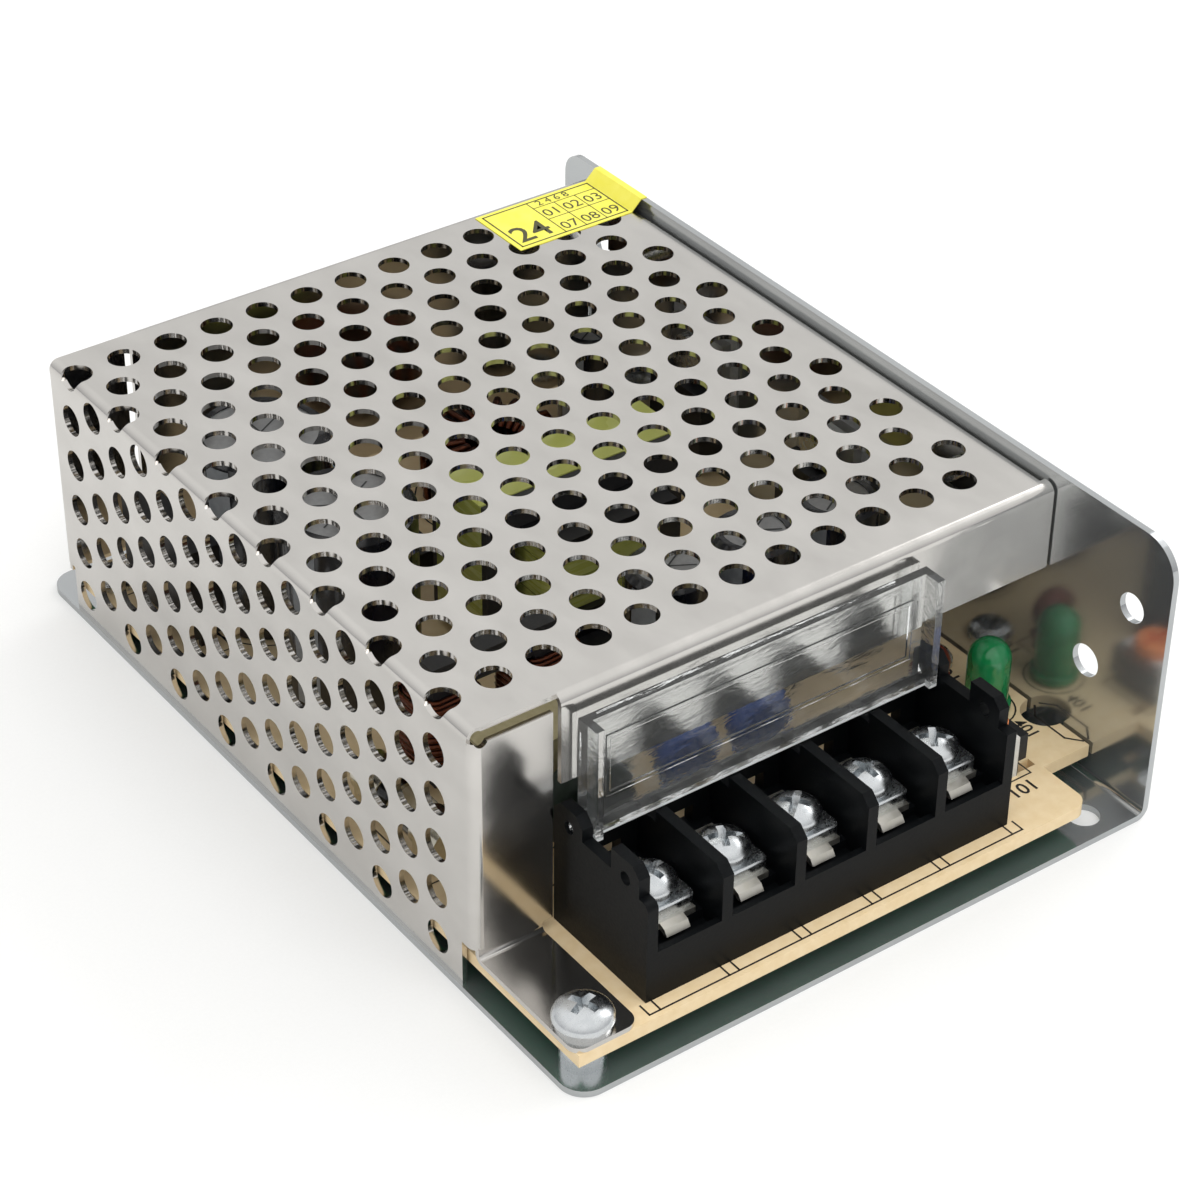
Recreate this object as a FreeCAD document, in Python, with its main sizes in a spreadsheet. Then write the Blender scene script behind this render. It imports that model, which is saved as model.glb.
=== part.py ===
import FreeCAD, Part
import math
import os
import re
import Sketcher
from FreeCAD import Placement, Rotation, Vector

# Mesh case switching power supply, in millimetres.
# The origin is the middle of the base plate's footprint, on its underside.
# +X is the side with the chassis wall, +Y runs to the back, +Z is up.

doc = FreeCAD.newDocument("mesh_case_power_supply")
sheet = doc.addObject("Spreadsheet::Sheet", "Sizes")

# Driving dimensions
sizes = {
    # chassis sheet
    "case_length": 110.0,
    "case_width": 78.0,
    "case_height": 36.0,
    "chassis_sheet": 0.8,
    "chassis_bend": 1.6,
    "base_corner": 3.0,
    "wall_front_corner": 4.5,
    "wall_rear_corner": 3.0,
    "base_hole_radius": 1.9,
    "base_hole_edge_x": 6.3,
    "base_hole_edge_y": 3.6,
    "wall_hole_radius": 1.8,
    "wall_hole_edge_y": 5.4,
    "wall_hole_rear_edge_y": 8.5,
    "wall_hole_height": 25.7,
    "low_hole_radius": 2.0,
    "low_hole_edge_y": 11.2,
    "low_hole_height": 15.2,
    # perforated cover
    "cover_sheet": 0.6,
    "cover_bend": 1.2,
    "cover_inset": 0.3,
    "cover_drop": 1.4,
    "cover_gap": 0.25,
    "front_strip": 18.4,
    "cover_length": 86.6,
    "wall_flange_height": 8.0,
    "wall_flange_end": 5.5,
    "lip_height": 10.8,
    "lip_start": 10.8,
    "flange_width": 9.8,
    "flange_top_gap": 1.3,
    "edge_setback": 0.9,
    "corner_hole_radius": 0.75,
    "side_setback": 2.3,
    "side_setback_height": 1.6,
    "foot_inset": 0.5,
    "foot_width": 8.0,
    "foot_reach": 17.0,
    "foot_corner": 1.6,
    # perforation: staggered rows of round holes
    "hole_radius": 1.9,
    "hole_pitch": 6.15,
    "row_pitch": 5.326,
    "first_row": 6.8,
    "first_hole": 1.2,
    "side_hole_drop": 5.9,
    # circuit board
    "standoff_height": 2.6,
    "board_thickness": 1.6,
    "board_side_gap": 0.3,
    "board_front_margin": 1.4,
    "board_rear_gap": 0.6,
    "board_ear_setback": 6.9,
    "board_ear_depth": 7.4,
    "board_corner": 1.8,
    "notch_radius": 2.7,
    "notch_from_front": 14.9,
    "board_slot_inset": 9.9,
    "board_slot_from_front": 8.3,
    "board_slot_length": 2.6,
    "board_slot_width": 1.2,
    "film_thickness": 0.3,
    "film_margin": 2.0,
    # standoffs and board screws
    "standoff_radius": 2.45,
    "standoff_neck_radius": 1.5,
    "standoff_bore": 1.2,
    "board_screw_shank": 1.15,
    "screw_clearance": 0.2,
    "board_screw_head": 2.7,
    "board_screw_head_height": 1.6,
    "foot_screw_inset": 3.2,
    "foot_screw_from_front": 3.2,
    "foot_screw_head": 3.3,
    "foot_screw_head_height": 2.1,
    "washer_thickness": 0.7,
    "washer_radius": 2.9,
    "rear_screw_from_back": 4.3,
    "right_screw_inset": 4.4,
    "middle_screw_from_front": 29.6,
    # terminal block
    "block_inset": 9.95,
    "pole_pitch": 9.5,
    "pole_count": 5,
    "barrier": 1.35,
    "block_front_setback": 3.7,
    "block_depth": 16.0,
    "bay_floor": 5.7,
    "sill_height": 6.2,
    "sill_thickness": 0.8,
    "barrier_height": 13.0,
    "barrier_chamfer": 1.2,
    "hinge_notch_height": 11.6,
    "hinge_notch_depth": 4.7,
    "end_wall_height": 13.6,
    "shoulder_height": 12.8,
    "front_ear_start": 1.5,
    "front_ear_width": 4.7,
    "ear_height": 16.2,
    "ear_chamfer": 1.1,
    "rear_ear_width": 4.9,
    "hinge_height": 13.9,
    "hinge_from_back": 2.6,
    "hinge_hole_radius": 0.75,
    "latch_from_front": 3.8,
    "latch_hole_radius": 0.8,
    "rear_wall": 1.5,
    "window_width": 4.0,
    "window_height": 2.6,
    "recess_depth": 1.2,
    "screw_well_radius": 2.2,
    "screw_well_depth": 4.4,
    # terminal tags, clamp plates and screws
    "tag_width": 6.2,
    "tag_thickness": 0.8,
    "tag_length": 9.6,
    "tag_front_gap": 3.1,
    "tag_lip_width": 3.0,
    "tag_lip_reach": 1.3,
    "tag_lip_drop": 1.0,
    "tag_leg_width": 1.2,
    "tag_leg_below": 1.2,
    "slot_clearance": 0.15,
    "clamp_width": 7.0,
    "clamp_thickness": 1.2,
    "clamp_corner": 0.9,
    "screw_from_front": 7.0,
    "terminal_shank": 1.7,
    "terminal_shank_length": 5.4,
    "running_clearance": 0.05,
    "terminal_head": 3.0,
    "terminal_head_height": 2.6,
    "terminal_head_edge": 1.7,
    "recess_span": 3.4,
    "recess_width": 0.9,
    "recess_cut": 1.2,
    # clear flip cover
    "flap_side_gap": 0.3,
    "flap_thickness": 1.1,
    "flap_above_hinge": 0.8,
    "flap_heel": 1.2,
    "flap_length": 12.8,
    "flap_rim": 1.0,
    "flap_rim_depth": 2.0,
    "flap_heel_depth": 1.2,
    "flap_pin_radius": 0.7,
    "flap_pin_length": 1.2,
    "flap_bead": 0.25,
    "flap_bead_inset": 2.6,
    "flap_bead_width": 0.5,
    # power lamp
    "lamp_inset": 5.0,
    "lamp_from_front": 19.3,
    "lamp_radius": 2.5,
    "lamp_flange_radius": 2.9,
    "lamp_flange_height": 1.0,
    "lamp_height": 9.2,
    "lamp_stand": 0.4,
    "lead_width": 0.5,
    "lead_spacing": 2.54,
    "lead_below": 1.2,
    # output trimmer
    "trimmer_gap": 4.4,
    "trimmer_from_front": 11.3,
    "trimmer_width": 6.6,
    "trimmer_height": 5.4,
    "trimmer_overhang": 1.1,
    "trimmer_step": 2.0,
    "rotor_radius": 2.4,
    "rotor_height": 1.5,
    "rotor_gap": 0.1,
    "rotor_stem_radius": 1.0,
    "rotor_stem_length": 2.0,
    "rotor_slot_width": 0.7,
    "rotor_slot_depth": 0.8,
    # seal label
    "label_thickness": 0.1,
    "label_length": 19.0,
    "label_width": 9.8,
    "label_from_back": 1.4,
    "label_lift": 0.6,
    # transformer
    "core_width": 27.6,
    "core_depth": 11.0,
    "core_height": 19.5,
    "core_leg": 3.9,
    "core_middle_leg": 7.2,
    "core_left": -8.6,
    "core_from_front": 58.4,
    "bobbin_foot": 2.0,
    "bobbin_wall": 0.8,
    "bobbin_flange": 1.0,
    "bobbin_flange_reach": 5.4,
    "winding_reach": 4.6,
    "core_gap": 0.1,
    "tape_thickness": 0.15,
    "tape_width": 9.0,
    # line side parts, inset from the board's left edge
    "bulk_radius": 8.0,
    "bulk_height": 24.0,
    "bulk_inset": 15.4,
    "bulk_from_front": 65.6,
    "bulk_pitch": 18.0,
    "sleeve_thickness": 0.15,
    "sleeve_lap": 0.6,
    "rim_fillet": 0.8,
    "choke_inset": 20.3,
    "choke_from_front": 45.1,
    "choke_width": 17.0,
    "choke_depth": 13.0,
    "choke_height": 16.0,
    "choke_leg": 3.6,
    "choke_coil": 2.4,
    "film_cap_inset": 19.8,
    "film_cap_from_front": 33.1,
    "film_cap_width": 17.5,
    "film_cap_depth": 6.5,
    "film_cap_height": 12.5,
    "film_cap_corner": 0.8,
    "disc_radius": 4.1,
    "disc_thickness": 3.4,
    "disc_x": -4.0,
    "disc_from_front": 27.6,
    "disc_pitch": 10.0,
    "disc_stand": 1.6,
    "thermistor_inset": 18.8,
    "thermistor_from_front": 25.1,
    "thermistor_radius": 5.6,
    "thermistor_thickness": 3.8,
    "fuse_inset": 5.6,
    "fuse_from_front": 38.6,
    "fuse_radius": 2.4,
    "fuse_length": 14.0,
    "fuse_cap_radius": 2.6,
    "fuse_cap_length": 4.6,
    "fuse_height": 3.4,
    "bridge_inset": 4.5,
    "bridge_from_front": 86.6,
    "bridge_width": 4.2,
    "bridge_length": 15.0,
    "bridge_height": 12.0,
    "bridge_stand": 2.5,
    # load side parts, inset from the board's right edge or placed from its middle
    "output_radius": 5.0,
    "output_height": 20.0,
    "output_x": 3.0,
    "output_from_front": 40.1,
    "output_pitch": 12.0,
    "toroid_x": 12.0,
    "toroid_from_front": 87.1,
    "toroid_outer": 8.0,
    "toroid_inner": 4.2,
    "toroid_thickness": 7.0,
    "toroid_turns": 14,
    "toroid_wire": 0.55,
    "device_width": 10.2,
    "device_height": 15.6,
    "device_thickness": 4.4,
    "device_tab": 1.3,
    "device_body": 9.2,
    "device_stand": 4.0,
    "switch_from_front": 78.6,
    "rectifier_from_front": 53.6,
    "pad_thickness": 0.3,
    "pad_margin": 1.2,
    "device_screw_radius": 1.5,
    "device_screw_head": 2.8,
    "device_screw_head_height": 1.8,
    "lead_thickness": 0.6,
    "brown_cap_inset": 9.3,
    "brown_cap_from_front": 24.6,
    "bias_radius": 4.0,
    "bias_height": 16.0,
    "bias_inset": 8.4,
    "bias_from_front": 91.1,
    # small parts
    "chip_width": 6.4,
    "chip_length": 9.4,
    "chip_height": 3.3,
    "chip_stand": 0.6,
    "chip_x": -6.0,
    "chip_from_front": 81.6,
    "coupler_x": 1.5,
    "coupler_from_front": 50.1,
    "coupler_length": 4.8,
    "resistor_radius": 1.7,
    "resistor_length": 9.0,
    "resistor_height": 2.6,
    "resistor_x": -6.9,
    "resistor_from_front": 99.6,
    "resistor_pitch": 4.6,
    "link_radius": 0.35,
    "link_span": 10.0,
    "link_height": 1.2,
    "link_inset": 13.9,
    "link_from_front": 76.6,
    "link_pitch": 3.2,
    # screws through the wall into the cover
    "cover_screw_radius": 1.4,
    "cover_screw_head": 2.3,
    "cover_screw_depth": 4.0,
    "cover_screw_drop": 4.6,
    "cover_screw_inset": 14.0,
}

# Places that follow from the driving dimensions
places = {
    "cover_left": "-case_width / 2 + cover_inset",
    "cover_right": "case_width / 2 - chassis_sheet - cover_gap",
    "cover_top": "case_height - cover_drop",
    "cover_under": "cover_top - cover_sheet",
    "cover_front": "-case_length / 2 + front_strip",
    "cover_rear": "cover_front + cover_length",
    "wall_inner": "case_width / 2 - chassis_sheet",
    "lip_left": "cover_left + lip_start",
    "flange_top": "cover_top - flange_top_gap",
    "foot_left": "cover_left + foot_inset",
    "board_bottom": "chassis_sheet + standoff_height",
    "board_top": "board_bottom + board_thickness",
    "board_left": "cover_left + cover_sheet + board_side_gap",
    "board_right": "wall_inner - board_side_gap",
    "board_front": "-case_length / 2 + board_front_margin",
    "board_rear": "cover_rear - cover_sheet - board_rear_gap",
    "board_ear": "board_right - board_ear_setback",
    "board_step": "board_front + board_ear_depth",
    "foot_top": "board_top + cover_sheet",
    "foot_screw_x": "foot_left + foot_screw_inset",
    "foot_screw_y": "board_front + foot_screw_from_front",
    "right_screw_x": "board_right - right_screw_inset",
    "middle_screw_y": "board_front + middle_screw_from_front",
    "rear_screw_y": "board_rear - rear_screw_from_back",
    "board_slot_x": "board_right - board_slot_inset",
    "board_slot_y": "board_front + board_slot_from_front",
    "block_left": "board_left + block_inset",
    "block_width": "pole_count * pole_pitch + barrier",
    "block_right": "block_left + block_width",
    "block_front": "-case_length / 2 + block_front_setback",
    "block_back": "block_front + block_depth",
    "floor_top": "board_top + bay_floor",
    "first_bay": "block_left + (barrier + pole_pitch) / 2",
    "bay_width": "pole_pitch - barrier",
    "hinge_y": "block_back - hinge_from_back",
    "hinge_z": "board_top + hinge_height",
    "screw_y": "block_front + screw_from_front",
    "tag_top": "floor_top + tag_thickness",
    "tag_front": "block_front + tag_front_gap",
    "tag_back": "tag_front + tag_length",
    "clamp_top": "tag_top + clamp_thickness",
    "flap_left": "block_left + barrier + flap_side_gap",
    "flap_right": "block_right - barrier - flap_side_gap",
    "flap_width": "flap_right - flap_left",
    "flap_back": "hinge_y + flap_above_hinge",
    "flap_face": "flap_back - flap_thickness",
    "flap_bottom": "hinge_z - flap_heel",
    "hole_row": "cover_front + first_row",
    "hole_column": "cover_left + first_hole",
    "lamp_x": "board_right - lamp_inset",
    "lamp_y": "board_front + lamp_from_front",
    "trimmer_x": "block_right + trimmer_gap",
    "trimmer_y": "board_front + trimmer_from_front",
    "trimmer_top": "board_top + trimmer_height",
    "core_front": "board_front + core_from_front",
    "core_bottom": "board_top + bobbin_foot",
    "core_top": "core_bottom + core_height",
    "core_right": "core_left + core_width",
    "core_back": "core_front + core_depth",
    "window_left": "core_left + core_leg",
    "window_right": "core_right - core_leg",
    "window_bottom": "core_bottom + core_leg",
    "window_top": "core_top - core_leg",
    "core_middle": "core_left + core_width / 2",
    "bulk_x": "board_left + bulk_inset",
    "bulk_y": "board_front + bulk_from_front",
    "choke_x": "board_left + choke_inset",
    "choke_y": "board_front + choke_from_front",
    "film_cap_x": "board_left + film_cap_inset",
    "film_cap_y": "board_front + film_cap_from_front",
    "disc_y": "board_front + disc_from_front",
    "thermistor_x": "board_left + thermistor_inset",
    "thermistor_y": "board_front + thermistor_from_front",
    "fuse_x": "board_left + fuse_inset",
    "fuse_y": "board_front + fuse_from_front",
    "bridge_x": "board_left + bridge_inset",
    "bridge_y": "board_front + bridge_from_front",
    "output_y": "board_front + output_from_front",
    "toroid_y": "board_front + toroid_from_front",
    "brown_cap_x": "board_right - brown_cap_inset",
    "brown_cap_y": "board_front + brown_cap_from_front",
    "bias_x": "board_right - bias_inset",
    "bias_y": "board_front + bias_from_front",
    "chip_y": "board_front + chip_from_front",
    "coupler_y": "board_front + coupler_from_front",
    "resistor_y": "board_front + resistor_from_front",
    "link_x": "board_right - link_inset",
    "link_y": "board_front + link_from_front",
    "rectifier_y": "board_front + rectifier_from_front",
    "switch_y": "board_front + switch_from_front",
    "device_face": "wall_inner - pad_thickness",
    "device_hole": "board_top + device_stand + device_body + 0.5 * (device_height - device_body)",
    "cover_screw_z": "cover_top - cover_screw_drop",
}

row = 0
for name, value in sizes.items():
    row += 1
    sheet.set("A%d" % row, name)
    sheet.set("B%d" % row, str(value))
    sheet.setAlias("B%d" % row, name)
for name, formula in places.items():
    row += 1
    sheet.set("A%d" % row, name)
    sheet.set("B%d" % row, "=" + formula)
    sheet.setAlias("B%d" % row, name)
doc.recompute()


def val(name):
    """A size or a place from the sheet, as a number."""
    return float(sheet.get(name))


def qualified(text):
    """An expression written with the sheet's own names, as the document reads it."""
    return re.sub(r"[a-z][a-z0-9_]*", lambda word: "Sizes." + word.group(0), str(text))


def bind(obj, prop, text):
    """Ties a property to an expression written with the sheet's own names."""
    obj.setExpression(prop, qualified(text))


# A second sheet works out one expression at a time, to start each sketch at its true shape
probe = doc.addObject("Spreadsheet::Sheet", "Probe")


def amount(text):
    """The value of an expression written with the sheet's own names."""
    probe.set("A1", "=" + qualified(text))
    probe.recompute()
    return float(probe.get("A1"))


def settled(feature, body):
    """Recomputes the document and stops where the feature did not build."""
    doc.recompute()
    if "Invalid" in feature.State or "Touched" in feature.State:
        raise RuntimeError("%s in %s: %s" % (feature.Name, body.Label, feature.getStatusString()))


# Sketches: each plane's own directions, and the sign that turns its offset into a coordinate
PLANES = {"XY": ("XY_Plane", 1), "XZ": ("XZ_Plane", -1), "YZ": ("YZ_Plane", 1)}


def new_body(label):
    body = doc.addObject("PartDesign::Body", label)
    body.Label = label
    return body


def draw(body, plane, start, loops):
    """A sketch at the coordinate start along the plane's axis.

    A loop is a circle, as ("circle", x, y, radius), or a list of corners, each (x, y) or
    (x, y, radius) where it is rounded. All are expressions bound to the sheet.
    """
    role, sign = PLANES[plane]
    sketch = body.newObject("Sketcher::SketchObject", "sketch")
    origin_plane = [part for part in body.Origin.OriginFeatures if part.Role == role][0]
    sketch.AttachmentSupport = [(origin_plane, "")]
    sketch.MapMode = "FlatFace"
    bind(sketch, "AttachmentOffset.Base.z", "%d * (%s)" % (sign, start))
    up = Vector(0, 0, 1)

    def hold(kind, text, *geometry):
        """A constraint whose size follows the sheet."""
        index = sketch.addConstraint(Sketcher.Constraint(kind, *geometry, amount(text)))
        bind(sketch, "Constraints[%d]" % index, text)

    for loop in loops:
        if loop[0] == "circle":
            middle = Vector(amount(loop[1]), amount(loop[2]), 0)
            ring = sketch.addGeometry(Part.Circle(middle, up, amount(loop[3])), False)
            hold("DistanceX", loop[1], ring, 3)
            hold("DistanceY", loop[2], ring, 3)
            hold("Radius", loop[3], ring)
            continue
        count = len(loop)
        spots = [Vector(amount(corner[0]), amount(corner[1]), 0) for corner in loop]
        arcs = {}
        ends = {}
        for i, corner in enumerate(loop):
            ends[i] = (spots[i], spots[i])
            if len(corner) < 3:
                continue
            back = (spots[i - 1] - spots[i]).normalize()
            ahead = (spots[(i + 1) % count] - spots[i]).normalize()
            half = back.getAngle(ahead) / 2
            radius = amount(corner[2])
            reach = radius / math.tan(half)
            middle = spots[i] + (back + ahead).normalize() * (radius / math.sin(half))
            first, last = spots[i] + back * reach, spots[i] + ahead * reach
            ends[i] = (first, last)
            turn = back.cross(ahead).z
            angles = [math.atan2(spot.y - middle.y, spot.x - middle.x)
                      for spot in ((first, last) if turn < 0 else (last, first))]
            arcs[i] = (Part.ArcOfCircle(Part.Circle(middle, up, radius), *angles), turn < 0)
        lines = [sketch.addGeometry(Part.LineSegment(ends[i][1], ends[(i + 1) % count][0]), False)
                 for i in range(count)]
        for i, corner in enumerate(loop):
            before, after = lines[i - 1], lines[i]
            if i not in arcs:
                sketch.addConstraint(Sketcher.Constraint("Coincident", before, 2, after, 1))
                hold("DistanceX", corner[0], after, 1)
                hold("DistanceY", corner[1], after, 1)
                continue
            curve, forward = arcs[i]
            arc = sketch.addGeometry(curve, False)
            point = sketch.addGeometry(Part.Point(spots[i]), True)
            start_end, stop_end = (1, 2) if forward else (2, 1)
            sketch.addConstraint(Sketcher.Constraint("Tangent", before, 2, arc, start_end))
            sketch.addConstraint(Sketcher.Constraint("Tangent", arc, stop_end, after, 1))
            sketch.addConstraint(Sketcher.Constraint("PointOnObject", point, 1, before))
            sketch.addConstraint(Sketcher.Constraint("PointOnObject", point, 1, after))
            hold("DistanceX", corner[0], point, 1)
            hold("DistanceY", corner[1], point, 1)
            hold("Radius", corner[2], arc)
    return sketch


def pad(body, plane, start, length, loops):
    """Adds the outline's prism, from start towards the plane's positive axis."""
    sketch = draw(body, plane, start, loops)
    feature = body.newObject("PartDesign::Pad", "pad")
    feature.Profile = sketch
    bind(feature, "Length", length)
    feature.Reversed = PLANES[plane][1] < 0
    settled(feature, body)
    return feature


def pocket(body, plane, start, length, loops):
    """Cuts the outline's prism, from start towards the plane's positive axis."""
    before = body.Shape.Volume
    sketch = draw(body, plane, start, loops)
    feature = body.newObject("PartDesign::Pocket", "pocket")
    feature.Profile = sketch
    bind(feature, "Length", length)
    feature.Reversed = PLANES[plane][1] > 0
    settled(feature, body)
    if not body.Shape.Volume < before:
        raise RuntimeError("a pocket in %s cuts nothing" % body.Label)
    return feature


def rectangle(x, y, width, height):
    """Corners of a rectangle from its low corner, as sheet expressions."""
    right = "%s + %s" % (x, width)
    top = "%s + %s" % (y, height)
    return [(x, y), (right, y), (right, top), (x, top)]


def edges_where(shape, test):
    """Names of the edges whose two ends pass the test."""
    names = []
    for number, edge in enumerate(shape.Edges, 1):
        if len(edge.Vertexes) == 2 and test(edge.Vertexes[0].Point, edge.Vertexes[1].Point):
            names.append("Edge%d" % number)
    return names


def near(first, second):
    return abs(first - second) < 0.01


def along(axis, **fixed):
    """A test for edges along an axis whose other coordinates are the given ones."""
    others = [name for name in "xyz" if name != axis]

    def test(a, b):
        straight = all(near(getattr(a, name), getattr(b, name)) for name in others)
        return straight and all(near(getattr(a, name), spot) for name, spot in fixed.items())
    return test


def round_edges(body, radius, *tests):
    """Rounds the edges that pass any of the tests."""
    names = []
    for test in tests:
        found = edges_where(body.Shape, test)
        if not found:
            raise RuntimeError("no edge to round in " + body.Label)
        names += [name for name in found if name not in names]
    base = body.Tip
    feature = body.newObject("PartDesign::Fillet", "fillet")
    feature.Base = (base, names)
    bind(feature, "Radius", radius)
    settled(feature, body)
    return feature


def repeat(body, feature, axis, pitch, count):
    """Repeats a feature along one of the body's own axes."""
    pattern = body.newObject("PartDesign::LinearPattern", "pattern")
    pattern.Originals = [feature]
    line = [part for part in body.Origin.OriginFeatures if part.Role == axis + "_Axis"][0]
    pattern.Direction = (line, [""])
    pattern.Mode = "Spacing"
    bind(pattern, "Offset", pitch)
    pattern.Occurrences = count
    body.Tip = pattern
    settled(pattern, body)
    return pattern


def turned(label, outline):
    """A body turned about its own vertical axis from (radius, height) corners."""
    body = new_body(label)
    sketch = draw(body, "XZ", "0", [outline])
    feature = body.newObject("PartDesign::Revolution", "turning")
    feature.Profile = sketch
    feature.ReferenceAxis = (sketch, ["V_Axis"])
    feature.Angle = 360
    settled(feature, body)
    return body


def place(obj, x, y, z):
    """Moves an object to a spot that is tied to the sheet."""
    bind(obj, "Placement.Base.x", x)
    bind(obj, "Placement.Base.y", y)
    bind(obj, "Placement.Base.z", z)
    return obj


def block(label, x, y, z, width, depth, height):
    obj = doc.addObject("Part::Box", label)
    obj.Label = label
    bind(obj, "Length", width)
    bind(obj, "Width", depth)
    bind(obj, "Height", height)
    return place(obj, x, y, z)


AXES = {
    "Z": Rotation(),
    "X": Rotation(Vector(0, 1, 0), 90),
    "Y": Rotation(Vector(1, 0, 0), -90),
}


def rod(label, x, y, z, radius, length, axis="Z"):
    """A round bar from a spot, towards the positive axis."""
    obj = doc.addObject("Part::Cylinder", label)
    obj.Label = label
    bind(obj, "Radius", radius)
    bind(obj, "Height", length)
    obj.Placement = Placement(Vector(), AXES[axis])
    return place(obj, x, y, z)


def cut(label, base, tool):
    obj = doc.addObject("Part::Cut", label)
    obj.Label = label
    obj.Base = base
    obj.Tool = tool
    return obj


def fuse(label, pieces):
    obj = doc.addObject("Part::MultiFuse", label)
    obj.Label = label
    obj.Shapes = pieces
    return obj


def group(label, pieces):
    """Separate solids that share one node."""
    obj = doc.addObject("Part::Compound", label)
    obj.Label = label
    obj.Links = pieces
    return obj


def rounded(label, base, radius, test):
    """Rounds the edges of a primitive or a boolean that pass the test."""
    doc.recompute()
    obj = doc.addObject("Part::Fillet", label)
    obj.Label = label
    obj.Base = base
    numbers = [int(name[4:]) for name in edges_where(base.Shape, test)]
    obj.Edges = [(number, val(radius), val(radius)) for number in numbers]
    return obj


nodes = []


def keep(obj):
    """Marks a finished sub-part: its label names its file."""
    nodes.append(obj)
    return obj


# Chassis: one bright sheet folded into the base plate and the right wall

half_width = val("case_width") / 2
half_length = val("case_length") / 2
chassis = new_body("chassis")
pad(chassis, "XZ", "-case_length / 2", "case_length", [[
    ("-case_width / 2", "0"),
    ("case_width / 2", "0"),
    ("case_width / 2", "case_height"),
    ("wall_inner", "case_height"),
    ("wall_inner", "chassis_sheet"),
    ("-case_width / 2", "chassis_sheet"),
]])
round_edges(chassis, "chassis_bend", along("y", x=half_width, z=0))
round_edges(chassis, "chassis_bend - chassis_sheet",
            along("y", x=val("wall_inner"), z=val("chassis_sheet")))
round_edges(chassis, "base_corner", along("z", x=-half_width, y=-half_length),
            along("z", x=-half_width, y=half_length))
round_edges(chassis, "wall_front_corner", along("x", y=-half_length, z=val("case_height")))
round_edges(chassis, "wall_rear_corner", along("x", y=half_length, z=val("case_height")))

# The fixing holes: two in the base, two near the wall's upper corners and one lower down
pocket(chassis, "XY", "0", "chassis_sheet", [
    ("circle", "case_width / 2 - base_hole_edge_x", "-case_length / 2 + base_hole_edge_y", "base_hole_radius"),
    ("circle", "case_width / 2 - base_hole_edge_x", "case_length / 2 - base_hole_edge_y", "base_hole_radius"),
])
pocket(chassis, "YZ", "wall_inner", "chassis_sheet", [
    ("circle", "-case_length / 2 + wall_hole_edge_y", "wall_hole_height", "wall_hole_radius"),
    ("circle", "case_length / 2 - wall_hole_rear_edge_y", "wall_hole_height", "wall_hole_radius"),
    ("circle", "-case_length / 2 + low_hole_edge_y", "low_hole_height", "low_hole_radius"),
])

# The board stands on four pillars that are pressed into the base
standoff_spots = [
    ("foot_screw_x", "foot_screw_y"),
    ("foot_screw_x", "rear_screw_y"),
    ("right_screw_x", "rear_screw_y"),
    ("right_screw_x", "middle_screw_y"),
]
pocket(chassis, "XY", "0", "chassis_sheet",
       [("circle", x, y, "standoff_neck_radius") for x, y in standoff_spots])

# The wall's holes for the two power devices and for the two countersunk cover screws
device_spots = [("rectifier_y", "device_hole"), ("switch_y", "device_hole")]
cover_screw_spots = [
    ("cover_front + cover_screw_inset", "cover_screw_z"),
    ("cover_rear - cover_screw_inset", "cover_screw_z"),
]
pocket(chassis, "YZ", "wall_inner", "chassis_sheet",
       [("circle", y, z, "device_screw_radius") for y, z in device_spots])
pocket(chassis, "YZ", "wall_inner", "chassis_sheet",
       [("circle", y, z, "cover_screw_radius") for y, z in cover_screw_spots])


def outer_screw_rim(edge):
    """The rim of a cover screw's hole on the wall's outer face."""
    on_face = near(edge.BoundBox.XMin, half_width) and near(edge.BoundBox.XMax, half_width)
    size = near(edge.BoundBox.YLength, 2 * val("cover_screw_radius"))
    return on_face and size and near(edge.BoundBox.Center.z, val("cover_screw_z"))


screw_rims = ["Edge%d" % number for number, edge in enumerate(chassis.Shape.Edges, 1)
              if outer_screw_rim(edge)]
drilled = chassis.Tip
countersink = chassis.newObject("PartDesign::Chamfer", "countersink")
countersink.Base = (drilled, screw_rims)
bind(countersink, "Size", "cover_screw_head - cover_screw_radius - 0.2")
doc.recompute()
keep(chassis)

# Mesh cover: one perforated sheet folded along its left side, right edge and both ends

cover = new_body("mesh_cover")
inner_bend = "cover_bend - cover_sheet"
end_join = "(cover_bend + 0.3)"
pad(cover, "XZ", "cover_front + " + end_join, "cover_length - 2 * " + end_join, [[
    ("cover_left", "chassis_sheet"),
    ("cover_left", "cover_top", "cover_bend"),
    ("cover_right", "cover_top", "cover_bend"),
    ("cover_right", "cover_top - wall_flange_height"),
    ("cover_right - cover_sheet", "cover_top - wall_flange_height"),
    ("cover_right - cover_sheet", "cover_under", inner_bend),
    ("cover_left + cover_sheet", "cover_under", inner_bend),
    ("cover_left + cover_sheet", "chassis_sheet"),
]])
for end in ("cover_front + " + end_join, "cover_rear - wall_flange_end"):
    pocket(cover, "XY", "cover_top - wall_flange_height - 1", "wall_flange_height + 1 - cover_bend",
           [rectangle("cover_right - cover_bend", end, "cover_bend + 1",
                      "wall_flange_end - " + end_join + " + 0.01")])
side_low = "(foot_top + side_setback_height - cover_sheet)"
for end in ("cover_front", "cover_rear - side_setback"):
    pocket(cover, "XY", "chassis_sheet - 1", side_low + " - chassis_sheet + 1",
           [rectangle("cover_left - 1", end, "cover_sheet + 2", "side_setback")])

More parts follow.
